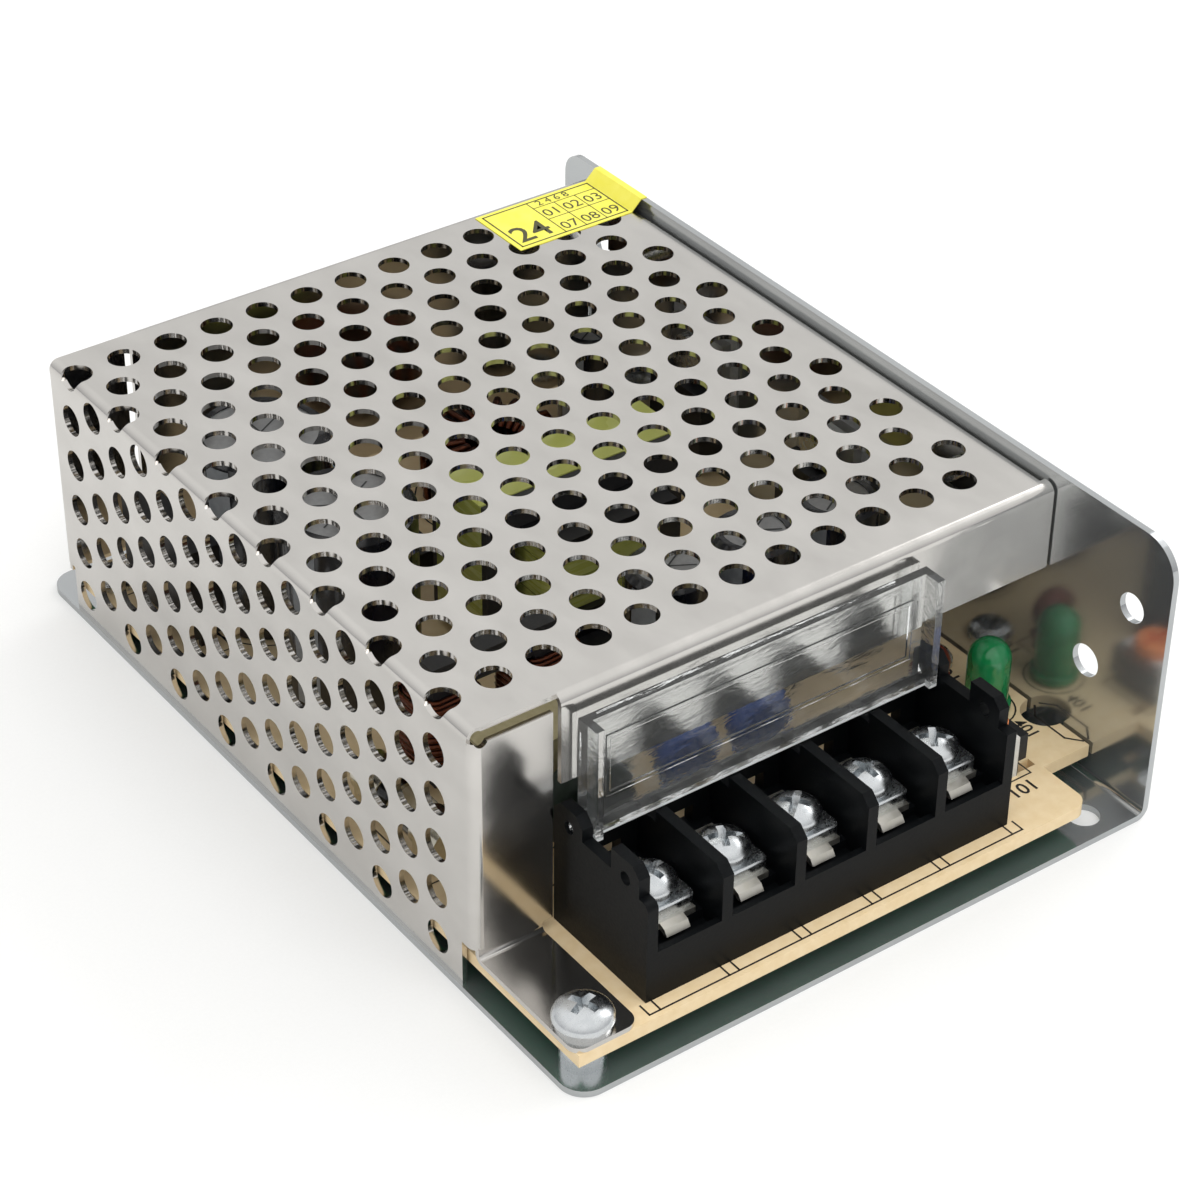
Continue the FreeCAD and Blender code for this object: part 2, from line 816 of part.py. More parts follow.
# Both ends: a short lip in front and a full wall at the back, folded down from the top,
# then the flange beside the side panel, and the slit between them
for end, inward, low_edge in (("cover_front", "+", "cover_top - lip_height"), ("cover_rear", "-", "board_top")):
    join = "%s %s (cover_bend + 0.4)" % (end, inward)
    inner = "%s %s cover_sheet" % (end, inward)
    pad(cover, "YZ", "lip_left", "cover_right - lip_left", [[
        (end, low_edge),
        (end, "cover_top", "cover_bend"),
        (join, "cover_top"),
        (join, "cover_under"),
        (inner, "cover_under", inner_bend),
        (inner, low_edge),
    ]])
    low = "cover_front + edge_setback" if inward == "+" else "cover_rear - (cover_bend + 0.4)"
    pad(cover, "XZ", low, "cover_bend + 0.4 - edge_setback", [[
        ("cover_left", "flange_top - 0.4"),
        ("cover_left", "cover_top", "cover_bend"),
        ("lip_left + 0.1", "cover_top"),
        ("lip_left + 0.1", "cover_under"),
        ("cover_left + cover_sheet", "cover_under", inner_bend),
        ("cover_left + cover_sheet", "flange_top - 0.4"),
    ]])
    pad(cover, "XY", side_low, "flange_top - " + side_low, [[
        ("cover_left", join),
        ("cover_left", end, "cover_bend"),
        ("cover_left + flange_width", end),
        ("cover_left + flange_width", inner),
        ("cover_left + cover_sheet", inner, inner_bend),
        ("cover_left + cover_sheet", join),
    ]])

# The front flange runs down to the board and folds forward into a foot that a screw holds
pad(cover, "YZ", "foot_left", "foot_width", [[
    ("cover_front - foot_reach", "board_top"),
    ("cover_front + cover_sheet", "board_top", "cover_bend"),
    ("cover_front + cover_sheet", side_low + " + 0.1"),
    ("cover_front", side_low + " + 0.1"),
    ("cover_front", "foot_top", inner_bend),
    ("cover_front - foot_reach", "foot_top"),
]])
pad(cover, "XY", "board_top", side_low + " - board_top + 0.1",
    [rectangle("foot_left", "cover_rear - cover_sheet", "foot_width", "cover_sheet")])
foot_end = val("cover_front") - val("foot_reach")
foot_right = val("foot_left") + val("foot_width")
round_edges(cover, "foot_corner", along("z", x=val("foot_left"), y=foot_end),
            along("z", x=foot_right, y=foot_end))
pocket(cover, "XY", "board_top - 1", "cover_sheet + 2",
       [("circle", "foot_screw_x", "foot_screw_y", "board_screw_shank + screw_clearance")])
pocket(cover, "YZ", "cover_right - cover_sheet - 1", "cover_sheet + 2",
       [("circle", y, z, "cover_screw_radius - 0.1") for y, z in cover_screw_spots])

# A round relief at each end keeps the corner between lip and flange from tearing
for end in ("cover_front - 1", "cover_rear - cover_bend - 1"):
    pocket(cover, "XZ", end, "cover_bend + 2",
           [("circle", "cover_left + cover_bend", "flange_top + 0.2", "corner_hole_radius")])

# Perforation of the top: two staggered grids, each one sketch of round holes

def fitting(first, last, step):
    """How many holes fit between two spots, edge to edge."""
    room = amount("%s - (%s)" % (last, first)) - 2 * val("hole_radius")
    return int(room / amount(step)) + 1


top_end = "cover_right - cover_bend"
rear_end = "cover_rear - cover_bend"
rows_even = fitting("hole_row - hole_radius", rear_end, "2 * row_pitch")
rows_odd = fitting("hole_row + row_pitch - hole_radius", rear_end, "2 * row_pitch")
columns_even = fitting("hole_column + hole_pitch - hole_radius", top_end, "hole_pitch")
columns_odd = fitting("hole_column + hole_pitch / 2 - hole_radius", top_end, "hole_pitch")
side_rows = fitting("chassis_sheet", "cover_top - side_hole_drop + hole_radius", "hole_pitch")


def grid(x, y, across, up, columns_wide, rows_high):
    """Circles in rows and columns from a first spot."""
    return [("circle", "%s + %d * %s" % (x, i, across), "%s + %d * %s" % (y, j, up), "hole_radius")
            for j in range(rows_high) for i in range(columns_wide)]


pocket(cover, "XY", "cover_under - 0.1", "cover_sheet + 0.2",
       grid("hole_column + hole_pitch", "hole_row", "hole_pitch", "2 * row_pitch", columns_even, rows_even))
pocket(cover, "XY", "cover_under - 0.1", "cover_sheet + 0.2",
       grid("hole_column + hole_pitch / 2", "hole_row + row_pitch", "hole_pitch", "2 * row_pitch",
            columns_odd, rows_odd))

# Holes that run round the left bend, punched before the sheet was folded
pocket(cover, "XY", "cover_top - cover_bend", "cover_bend + 0.1",
       grid("hole_column", "hole_row", "hole_pitch", "2 * row_pitch", 1, rows_even))
pocket(cover, "YZ", "cover_left - 0.1", "cover_bend + 0.1",
       [("circle", "hole_row + %d * row_pitch" % (2 * j), "cover_top + 0.2", "hole_radius")
        for j in range(rows_even)])

# Perforation of the left side
pocket(cover, "YZ", "cover_left - 0.1", "cover_sheet + 0.2",
       grid("hole_row", "cover_top - side_hole_drop - %d * hole_pitch" % (side_rows - 1), "2 * row_pitch",
            "hole_pitch", rows_even, side_rows))
pocket(cover, "YZ", "cover_left - 0.1", "cover_sheet + 0.2",
       grid("hole_row + row_pitch",
            "cover_top - side_hole_drop - %d * hole_pitch + hole_pitch / 2" % (side_rows - 1),
            "2 * row_pitch", "hole_pitch", rows_odd, side_rows))
keep(cover)

# Circuit board: stepped along the wall, with a half-round notch

board = new_body("circuit_board")
pad(board, "XY", "board_bottom", "board_thickness", [[
    ("board_left", "board_front"),
    ("board_ear", "board_front"),
    ("board_ear", "board_step"),
    ("board_right", "board_step"),
    ("board_right", "board_rear"),
    ("board_left", "board_rear"),
]])
round_edges(board, "board_corner", along("z", x=val("board_ear"), y=val("board_front")))
pocket(board, "XY", "board_bottom", "board_thickness",
       [("circle", "board_right", "board_front + notch_from_front", "notch_radius")])
pocket(board, "XY", "board_bottom", "board_thickness",
       [("circle", x, y, "board_screw_shank + screw_clearance") for x, y in standoff_spots])
pocket(board, "XY", "board_bottom", "board_thickness",
       [rectangle("board_slot_x", "board_slot_y", "board_slot_length", "board_slot_width")])
pole_count = int(val("pole_count"))
bays = ["first_bay + %d * pole_pitch" % i for i in range(pole_count)]
pocket(board, "XY", "board_bottom", "board_thickness", [
    rectangle("%s - tag_leg_width / 2 - slot_clearance" % bay, "tag_back - tag_thickness - slot_clearance",
              "tag_leg_width + 2 * slot_clearance", "tag_thickness + 2 * slot_clearance")
    for bay in bays])
lamp_leads = ["lamp_x - lead_spacing / 2", "lamp_x + lead_spacing / 2"]
pocket(board, "XY", "board_bottom", "board_thickness", [
    rectangle("%s - lead_width / 2 - slot_clearance" % lead, "lamp_y - lead_width / 2 - slot_clearance",
              "lead_width + 2 * slot_clearance", "lead_width + 2 * slot_clearance")
    for lead in lamp_leads])
keep(board)

# Insulating film under the solder side
film = new_body("insulating_film")
pad(film, "XY", "chassis_sheet", "film_thickness", [[
    ("board_left + film_margin", "cover_front + film_margin"),
    ("board_right - film_margin", "cover_front + film_margin"),
    ("board_right - film_margin", "board_rear - film_margin"),
    ("board_left + film_margin", "board_rear - film_margin"),
]])
pocket(film, "XY", "chassis_sheet", "film_thickness",
       [("circle", x, y, "standoff_radius + 1") for x, y in standoff_spots[1:]])
keep(film)

# Standoffs: round pillars with a neck that is pressed into the base

standoffs = []
for number, (x, y) in enumerate(standoff_spots, 1):
    pillar = turned("standoff_%d" % number, [
        ("standoff_bore", "0"),
        ("standoff_neck_radius", "0"),
        ("standoff_neck_radius", "chassis_sheet"),
        ("standoff_radius", "chassis_sheet"),
        ("standoff_radius", "board_bottom"),
        ("standoff_bore", "board_bottom"),
    ])
    standoffs.append(place(pillar, x, y, "0"))
keep(group("board_standoffs", standoffs))


def recessed(label, screw, x, y, top_z, span):
    """Cuts a cross recess into a screw's head."""
    bars = []
    for name, width, depth in (("a", span, "recess_width"), ("b", "recess_width", span)):
        bars.append(block("%s_recess_%s" % (label, name), "%s - (%s) / 2" % (x, width),
                          "%s - (%s) / 2" % (y, depth), "%s - recess_cut" % top_z,
                          width, depth, "recess_cut + 1"))
    return cut(label, screw, fuse(label + "_recess", bars))


def pan_screw(label, x, y, seat, shank, length, head, height):
    """A pan-head screw whose head sits on the height seat."""
    body = turned(label + "_blank", [
        ("0", "-(%s)" % length),
        ("%s - 0.3" % shank, "-(%s)" % length),
        (shank, "-(%s) + 0.4" % length),
        (shank, "0"),
        (head, "0"),
        (head, "0.45 * %s" % height),
        ("0.86 * %s" % head, "0.78 * %s" % height),
        ("0.55 * %s" % head, height),
        ("0", height),
    ])
    place(body, x, y, seat)
    return recessed(label, body, x, y, "%s + %s" % (seat, height), "1.1 * %s" % head)


board_screws = []
for number, (x, y) in enumerate(standoff_spots[1:], 1):
    board_screws.append(pan_screw("board_screw_%d" % number, x, y, "board_top", "board_screw_shank",
                                  "board_thickness + standoff_height - 0.2", "board_screw_head",
                                  "board_screw_head_height"))
keep(group("board_screws", board_screws))

# The cover's foot is held by the fourth screw, over a spring washer
keep(pan_screw("foot_screw", "foot_screw_x", "foot_screw_y", "foot_top + washer_thickness",
               "board_screw_shank", "washer_thickness + cover_sheet + board_thickness + standoff_height - 0.2",
               "foot_screw_head", "foot_screw_head_height"))
washer_disc = rod("washer_disc", "foot_screw_x", "foot_screw_y", "foot_top", "washer_radius", "washer_thickness")
washer_bore = rod("washer_bore", "foot_screw_x", "foot_screw_y", "foot_top - 1",
                  "board_screw_shank + screw_clearance", "washer_thickness + 2")
washer_split = block("washer_split", "foot_screw_x", "foot_screw_y - 0.3", "foot_top - 1",
                     "washer_radius + 1", "0.6", "washer_thickness + 2")
keep(cut("foot_washer", washer_disc, fuse("washer_openings", [washer_bore, washer_split])))

# Terminal block: one black moulding with five bays, pierced rear wall and ears for the clear cover

terminal_block = new_body("terminal_block")
pad(terminal_block, "XY", "board_top", "bay_floor",
    [rectangle("block_left", "block_front", "block_width", "block_depth")])
pad(terminal_block, "XY", "board_top", "sill_height",
    [rectangle("block_left", "block_front", "block_width", "sill_thickness")])
pad(terminal_block, "XY", "board_top", "hinge_notch_height",
    [rectangle("block_left", "block_back - rear_wall", "block_width", "rear_wall")])
pad(terminal_block, "YZ", "block_left", "barrier", [[
    ("block_front", "board_top"),
    ("block_front", "board_top + shoulder_height"),
    ("block_front + front_ear_start", "board_top + shoulder_height"),
    ("block_front + front_ear_start", "board_top + ear_height - ear_chamfer"),
    ("block_front + front_ear_start + ear_chamfer", "board_top + ear_height"),
    ("block_front + front_ear_start + front_ear_width", "board_top + ear_height"),
    ("block_front + front_ear_start + front_ear_width", "board_top + end_wall_height"),
    ("block_back - rear_ear_width", "board_top + end_wall_height"),
    ("block_back - rear_ear_width", "board_top + ear_height - ear_chamfer"),
    ("block_back - rear_ear_width + ear_chamfer", "board_top + ear_height"),
    ("block_back - ear_chamfer", "board_top + ear_height"),
    ("block_back", "board_top + ear_height - ear_chamfer"),
    ("block_back", "board_top"),
]])
end_wall = terminal_block.Tip
round_edges(terminal_block, "0.9",
            along("x", y=val("block_front"), z=val("board_top") + val("shoulder_height")))
repeat(terminal_block, end_wall, "X", "block_width - barrier", 2)
barrier_wall = pad(terminal_block, "YZ", "block_left + pole_pitch", "barrier", [[
    ("block_front", "board_top"),
    ("block_front", "board_top + barrier_height - barrier_chamfer"),
    ("block_front + barrier_chamfer", "board_top + barrier_height"),
    ("block_back - hinge_notch_depth", "board_top + barrier_height"),
    ("block_back - hinge_notch_depth", "board_top + hinge_notch_height"),
    ("block_back", "board_top + hinge_notch_height"),
    ("block_back", "board_top"),
]])
repeat(terminal_block, barrier_wall, "X", "pole_pitch", pole_count - 1)
for label, z, depth, loops in (
        ("recess", "floor_top - recess_depth", "recess_depth", [
            rectangle("%s - bay_width / 2" % bay, "block_front + sill_thickness", "bay_width",
                      "tag_front_gap - sill_thickness") for bay in bays]),
        ("well", "floor_top - screw_well_depth", "screw_well_depth", [
            ("circle", bay, "screw_y", "screw_well_radius") for bay in bays]),
        ("leg slot", "board_top", "bay_floor", [
            rectangle("%s - tag_leg_width / 2 - slot_clearance" % bay,
                      "tag_back - tag_thickness - slot_clearance",
                      "tag_leg_width + 2 * slot_clearance",
                      "tag_thickness + 2 * slot_clearance") for bay in bays])):
    pocket(terminal_block, "XY", z, depth, loops)
pocket(terminal_block, "XZ", "block_back - rear_wall", "rear_wall",
       [rectangle("%s - window_width / 2" % bay, "floor_top", "window_width", "window_height") for bay in bays])
pocket(terminal_block, "YZ", "block_left", "block_width", [
    ("circle", "hinge_y", "hinge_z", "hinge_hole_radius"),
    ("circle", "block_front + latch_from_front", "hinge_z", "latch_hole_radius"),
])
keep(terminal_block)

# Terminal tags: a flat contact with a turned-down lip in front and a solder leg behind

tags = []
for number, bay in enumerate(bays, 1):
    tag = new_body("tag_%d" % number)
    pad(tag, "YZ", "%s - tag_width / 2" % bay, "tag_width", [[
        ("tag_front", "floor_top"),
        ("tag_back", "floor_top"),
        ("tag_back", "tag_top"),
        ("tag_front", "tag_top"),
    ]])
    pad(tag, "YZ", "%s - tag_lip_width / 2" % bay, "tag_lip_width", [[
        ("tag_front", "tag_top"),
        ("tag_front - tag_lip_reach + 0.5", "tag_top - 0.3"),
        ("tag_front - tag_lip_reach", "tag_top - tag_lip_drop"),
        ("tag_front - tag_lip_reach + 0.5", "tag_top - tag_lip_drop - 0.2"),
        ("tag_front", "floor_top"),
    ]])
    pad(tag, "XY", "board_bottom - tag_leg_below", "floor_top - board_bottom + tag_leg_below",
        [rectangle("%s - tag_leg_width / 2" % bay, "tag_back - tag_thickness", "tag_leg_width",
                   "tag_thickness")])
    pocket(tag, "XY", "floor_top", "tag_thickness",
           [("circle", bay, "screw_y", "terminal_shank + running_clearance")])
    tags.append(tag)
keep(group("terminal_tags", tags))

# Clamp plates and raised-head screws: one of each in every bay

clamp_half = val("clamp_width") / 2
for number, bay in enumerate(bays, 1):
    plate = new_body("clamp_plate_%d" % number)
    pad(plate, "XY", "tag_top", "clamp_thickness",
        [rectangle("%s - clamp_width / 2" % bay, "screw_y - clamp_width / 2", "clamp_width", "clamp_width")])
    middle = val("first_bay") + (number - 1) * val("pole_pitch")
    round_edges(plate, "clamp_corner",
                along("z", x=middle - clamp_half, y=val("screw_y") - clamp_half),
                along("z", x=middle + clamp_half, y=val("screw_y") - clamp_half),
                along("z", x=middle - clamp_half, y=val("screw_y") + clamp_half),
                along("z", x=middle + clamp_half, y=val("screw_y") + clamp_half))
    pocket(plate, "XY", "tag_top", "clamp_thickness",
           [("circle", bay, "screw_y", "terminal_shank + running_clearance")])
    keep(plate)

    blank = turned("terminal_screw_blank_%d" % number, [
        ("0", "-terminal_shank_length"),
        ("terminal_shank - 0.4", "-terminal_shank_length"),
        ("terminal_shank", "-terminal_shank_length + 0.5"),
        ("terminal_shank", "0"),
        ("terminal_head", "0"),
        ("terminal_head", "terminal_head_edge"),
        ("0.9 * terminal_head", "terminal_head_edge + 0.4"),
        ("0.66 * terminal_head", "terminal_head_height - 0.15"),
        ("0.4 * terminal_head", "terminal_head_height"),
        ("0", "terminal_head_height"),
    ])
    place(blank, bay, "screw_y", "clamp_top")
    keep(recessed("terminal_screw_%d" % number, blank, bay, "screw_y",
                  "clamp_top + terminal_head_height", "recess_span"))

# Clear flip cover: a thin plate with side rims, a heel and two hinge pins, raised on its hinge

flap = new_body("terminal_cover")
pad(flap, "XY", "flap_bottom", "flap_heel + flap_length",
    [rectangle("flap_left", "flap_face", "flap_width", "flap_thickness")])
for edge in ("flap_left", "flap_right - flap_rim"):
    pad(flap, "XY", "flap_bottom", "flap_heel + flap_length",
        [rectangle(edge, "flap_face - flap_rim_depth", "flap_rim", "flap_rim_depth")])
pad(flap, "XY", "flap_bottom", "flap_rim",
    [rectangle("flap_left", "flap_face - flap_heel_depth", "flap_width", "flap_heel_depth")])
pad(flap, "YZ", "flap_left - flap_pin_length", "flap_pin_length + flap_rim",
    [("circle", "hinge_y", "hinge_z", "flap_pin_radius")])
pad(flap, "YZ", "flap_right - flap_rim", "flap_pin_length + flap_rim",
    [("circle", "hinge_y", "hinge_z", "flap_pin_radius")])
bead_left = "flap_left + flap_bead_inset"
bead_low = "flap_bottom + flap_bead_inset + flap_rim"
bead_width = "flap_width - 2 * flap_bead_inset"
bead_height = "flap_heel + flap_length - 2 * flap_bead_inset - flap_rim"
outer = rectangle(bead_left, bead_low, bead_width, bead_height)
inner = rectangle(bead_left + " + flap_bead_width", bead_low + " + flap_bead_width",
                  bead_width + " - 2 * flap_bead_width", bead_height + " - 2 * flap_bead_width")
pad(flap, "XZ", "flap_face - flap_bead", "flap_bead", [outer, inner])
keep(flap)

# Power lamp: a domed lens on two square leads

lens = turned("power_led", [
    ("0", "0"),
    ("lamp_flange_radius", "0"),
    ("lamp_flange_radius", "lamp_flange_height"),
    ("lamp_radius", "lamp_flange_height"),
    ("lamp_radius", "lamp_height - lamp_radius"),
    ("0.92 * lamp_radius", "lamp_height - 0.61 * lamp_radius"),
    ("0.71 * lamp_radius", "lamp_height - 0.29 * lamp_radius"),
    ("0.38 * lamp_radius", "lamp_height - 0.075 * lamp_radius"),
    ("0", "lamp_height"),
])
place(lens, "lamp_x", "lamp_y", "board_top + lamp_stand")
keep(lens)
keep(group("led_leads", [
    block("led_lead_%d" % number, "%s - lead_width / 2" % lead, "lamp_y - lead_width / 2",
          "board_bottom - lead_below", "lead_width", "lead_width",
          "board_thickness + lead_below + lamp_stand")
    for number, lead in enumerate(lamp_leads, 1)]))

# Output trimmer: a moulded body and a slotted rotor on a stem

trimmer = new_body("trimmer_body")
pad(trimmer, "XY", "board_top", "trimmer_height",
    [rectangle("trimmer_x - trimmer_width / 2", "trimmer_y - trimmer_width / 2",
               "trimmer_width", "trimmer_width")])
pocket(trimmer, "XY", "trimmer_top - rotor_stem_length - rotor_gap", "rotor_stem_length + rotor_gap",
       [("circle", "trimmer_x", "trimmer_y", "rotor_stem_radius + running_clearance")])
pocket(trimmer, "XY", "board_top - 0.1", "trimmer_step + 0.1",
       [rectangle("trimmer_x + trimmer_width / 2 - trimmer_overhang", "trimmer_y - trimmer_width / 2 - 0.1",
                  "trimmer_overhang + 0.1", "trimmer_width + 0.2")])
keep(trimmer)
rotor = turned("trimmer_rotor_blank", [
    ("0", "-rotor_stem_length"),
    ("rotor_stem_radius", "-rotor_stem_length"),
    ("rotor_stem_radius", "0"),
    ("rotor_radius", "0"),
    ("rotor_radius", "rotor_height - 0.3"),
    ("rotor_radius - 0.3", "rotor_height"),
    ("0", "rotor_height"),
])
place(rotor, "trimmer_x", "trimmer_y", "trimmer_top + rotor_gap")
rotor_slots = []
for name, width, depth in (("long", "2 * rotor_radius - 1", "rotor_slot_width"),
                           ("short", "rotor_slot_width", "rotor_radius")):
    rotor_slots.append(block("rotor_slot_" + name, "trimmer_x - (%s) / 2" % width,
                             "trimmer_y - (%s) / 2" % depth,
                             "trimmer_top + rotor_gap + rotor_height - rotor_slot_depth",
                             width, depth, "rotor_slot_depth + 1"))
keep(cut("trimmer_rotor", rotor, fuse("rotor_slots", rotor_slots)))

# Seal label: a paper strip from the cover over the gap to the wall's top edge

label = new_body("seal_label")
label_end = "case_width / 2"
pad(label, "XZ", "cover_rear - label_from_back - label_width", "label_width", [[
    (label_end + " - label_length", "cover_top"),
    ("cover_right - cover_bend", "cover_top"),
    ("wall_inner", "case_height"),
    (label_end, "case_height"),
    (label_end, "case_height + label_thickness"),
    ("wall_inner - label_thickness / 2", "case_height + label_thickness"),
    ("cover_right - cover_bend - label_thickness / 2", "cover_top + label_thickness"),
    (label_end + " - label_length", "cover_top + label_thickness"),
]])
keep(label)

# Transformer: a three-legged ferrite core standing on end, a bobbin and a taped winding

core = new_body("transformer_core")
pad(core, "XZ", "core_front", "core_depth",
    [rectangle("core_left", "core_bottom", "core_width", "core_height")])
window_width = "(core_width - core_middle_leg) / 2 - core_leg"
pocket(core, "XZ", "core_front", "core_depth", [
    rectangle("window_left", "window_bottom", window_width, "window_top - window_bottom"),
    rectangle("core_middle + core_middle_leg / 2", "window_bottom", window_width,
              "window_top - window_bottom"),
])
keep(core)

tape = new_body("transformer_tape")
pad(tape, "XZ", "core_front + (core_depth - tape_width) / 2", "tape_width", [
    rectangle("core_left - tape_thickness", "core_bottom - tape_thickness",
              "core_width + 2 * tape_thickness", "core_height + 2 * tape_thickness"),
    rectangle("core_left", "core_bottom", "core_width", "core_height"),
])
keep(tape)


def round_core(z, height, reach, inside):
    """A rectangular ring round the middle leg, as the two outlines of a pad."""
    outer_ring = rectangle("core_middle - core_middle_leg / 2 - %s" % reach,
                           "core_front - %s" % reach, "core_middle_leg + 2 * (%s)" % reach,
                           "core_depth + 2 * (%s)" % reach)
    inner_ring = rectangle("core_middle - core_middle_leg / 2 - %s" % inside,
                           "core_front - %s" % inside, "core_middle_leg + 2 * (%s)" % inside,
                           "core_depth + 2 * (%s)" % inside)
    return z, height, [outer_ring, inner_ring]


bobbin = new_body("transformer_bobbin")
spool = "bobbin_wall + core_gap"
for z, height, reach in (
        ("window_bottom + core_gap", "window_top - window_bottom - 2 * core_gap", "(%s)" % spool),
        ("window_bottom + core_gap", "bobbin_flange", "bobbin_flange_reach"),
        ("window_top - core_gap - bobbin_flange", "bobbin_flange", "bobbin_flange_reach")):
    start, length, rings = round_core(z, height, reach, "core_gap")
    pad(bobbin, "XY", start, length, rings)
for end in ("core_front - bobbin_flange_reach", "core_back + core_gap"):
    pad(bobbin, "XY", "board_top", "window_bottom - board_top + core_gap + bobbin_flange",
        [rectangle("window_left + 1", end, "window_right - window_left - 2",
                   "bobbin_flange_reach - core_gap")])
keep(bobbin)
winding = new_body("transformer_winding")
start, length, rings = round_core("window_bottom + 2 * core_gap + bobbin_flange",
                                  "window_top - window_bottom - 4 * core_gap - 2 * bobbin_flange",
                                  "winding_reach", "(%s + core_gap)" % spool)
pad(winding, "XY", start, length, rings)
reach = val("winding_reach")
x_low = val("core_middle") - val("core_middle_leg") / 2 - reach
x_high = val("core_middle") + val("core_middle_leg") / 2 + reach
round_edges(winding, "2", along("z", x=x_low, y=val("core_front") - reach),
            along("z", x=x_high, y=val("core_front") - reach),
            along("z", x=x_low, y=val("core_back") + reach),
            along("z", x=x_high, y=val("core_back") + reach))
keep(winding)


def can_and_sleeve(name, x, y, radius, height):
    """An aluminium can with its shrunk sleeve, which leaves the middle of the top bare."""
    can = turned(name + "_can", [
        ("0", "sleeve_thickness"),
        ("%s - 0.5" % radius, "sleeve_thickness"),
        ("%s - sleeve_thickness" % radius, "sleeve_thickness + 0.5"),
        ("%s - sleeve_thickness" % radius, "%s - sleeve_thickness - 0.6" % height),
        ("%s - sleeve_thickness - 0.6" % radius, "%s - sleeve_thickness" % height),
        ("0", "%s - sleeve_thickness" % height),
    ])
    place(can, x, y, "board_top")
    sleeve = turned(name + "_sleeve", [
        ("%s - 0.5 - sleeve_thickness" % radius, "0"),
        ("%s - 0.5" % radius, "0"),
        (radius, "0.5"),
        (radius, "%s - 0.6" % height),
        ("%s - 0.6" % radius, height),
        ("%s - 0.6 - sleeve_lap - sleeve_thickness" % radius, height),
        ("%s - 0.6 - sleeve_lap - sleeve_thickness" % radius, "%s - sleeve_thickness" % height),
        ("%s - sleeve_thickness - 0.6" % radius, "%s - sleeve_thickness" % height),
        ("%s - sleeve_thickness" % radius, "%s - sleeve_thickness - 0.6" % height),
        ("%s - sleeve_thickness" % radius, "sleeve_thickness + 0.5"),
        ("%s - 0.5" % radius, "sleeve_thickness"),
        ("%s - 0.5 - sleeve_thickness" % radius, "sleeve_thickness"),
    ])
    place(sleeve, x, y, "board_top")
    return can, sleeve


def capacitor_row(name, count, x, y, step_x, step_y, radius, height):
    cans = []
    sleeves = []
    for number in range(count):
        can, sleeve = can_and_sleeve("%s_%d" % (name, number + 1), "%s + %d * (%s)" % (x, number, step_x),
                                     "%s + %d * (%s)" % (y, number, step_y), radius, height)
        cans.append(can)
        sleeves.append(sleeve)
    keep(group(name + "_capacitors", cans))
    keep(group(name + "_sleeves", sleeves))


capacitor_row("input", 2, "bulk_x", "bulk_y", "0", "bulk_pitch", "bulk_radius", "bulk_height")
capacitor_row("output", 3, "output_x", "output_y", "output_pitch", "0", "output_radius", "output_height")
bias_can, bias_sleeve = can_and_sleeve("bias", "bias_x", "bias_y", "bias_radius", "bias_height")
keep(bias_can)
keep(bias_sleeve)

# Line filter choke: an upright ferrite frame with a coil on each leg

choke = new_body("filter_choke_core")
pad(choke, "XZ", "choke_y - choke_leg / 2", "choke_leg",
    [rectangle("choke_x - choke_width / 2", "board_top", "choke_width", "choke_height")])
pocket(choke, "XZ", "choke_y - choke_leg / 2", "choke_leg",
       [rectangle("choke_x - choke_width / 2 + choke_leg", "board_top + choke_leg",
                  "choke_width - 2 * choke_leg", "choke_height - 2 * choke_leg")])
keep(choke)
coils = []
for number, side in enumerate(("choke_x - choke_width / 2", "choke_x + choke_width / 2 - choke_leg"), 1):
    coil = new_body("choke_coil_%d" % number)
    coil_outer = rectangle("%s - choke_coil" % side, "choke_y - choke_leg / 2 - choke_coil",
                           "choke_leg + 2 * choke_coil", "choke_leg + 2 * choke_coil")
    coil_inner = rectangle("%s - core_gap" % side, "choke_y - choke_leg / 2 - core_gap",
                           "choke_leg + 2 * core_gap", "choke_leg + 2 * core_gap")
    pad(coil, "XY", "board_top + choke_leg + core_gap", "choke_height - 2 * choke_leg - 2 * core_gap",
        [coil_outer, coil_inner])
    coils.append(coil)
keep(group("filter_choke_windings", coils))

# Film capacitor across the line: a moulded box with rounded upright edges

film_cap = block("film_capacitor_box", "film_cap_x - film_cap_width / 2", "film_cap_y - film_cap_depth / 2",
                 "board_top", "film_cap_width", "film_cap_depth", "film_cap_height")
keep(rounded("film_capacitor", film_cap, "film_cap_corner", along("z")))


def disc_part(label, x, y, radius, thickness):
    """A dipped disc that stands on edge on two leads."""
    disc = rod(label + "_disc", x, "%s - (%s) / 2" % (y, thickness), "board_top + disc_stand + %s" % radius,
               radius, thickness, "Y")
    legs = [block("%s_leg_%s" % (label, name), "%s %s" % (x, offset), "%s - lead_width / 2" % y,
                  "board_top", "lead_width", "lead_width", "disc_stand + 0.5 * %s" % radius)
            for name, offset in (("a", "- lead_spacing - lead_width / 2"),
                                 ("b", "+ lead_spacing - lead_width / 2"))]
    return fuse(label, [disc] + legs)


blue_discs = []
for number in range(2):
    blue_discs.append(disc_part("safety_capacitor_%d" % (number + 1),
                                "disc_x + %d * disc_pitch" % number, "disc_y", "disc_radius", "disc_thickness"))
keep(group("safety_capacitors", blue_discs))
thermistor = disc_part("inrush_thermistor", "thermistor_x", "thermistor_y",
                       "thermistor_radius", "thermistor_thickness")
keep(thermistor)
brown_disc = disc_part("brown_capacitor", "brown_cap_x", "brown_cap_y", "0.7 * disc_radius",
                       "0.8 * disc_thickness")
keep(brown_disc)

# Fuse: a glass tube between two plated end caps in board clips

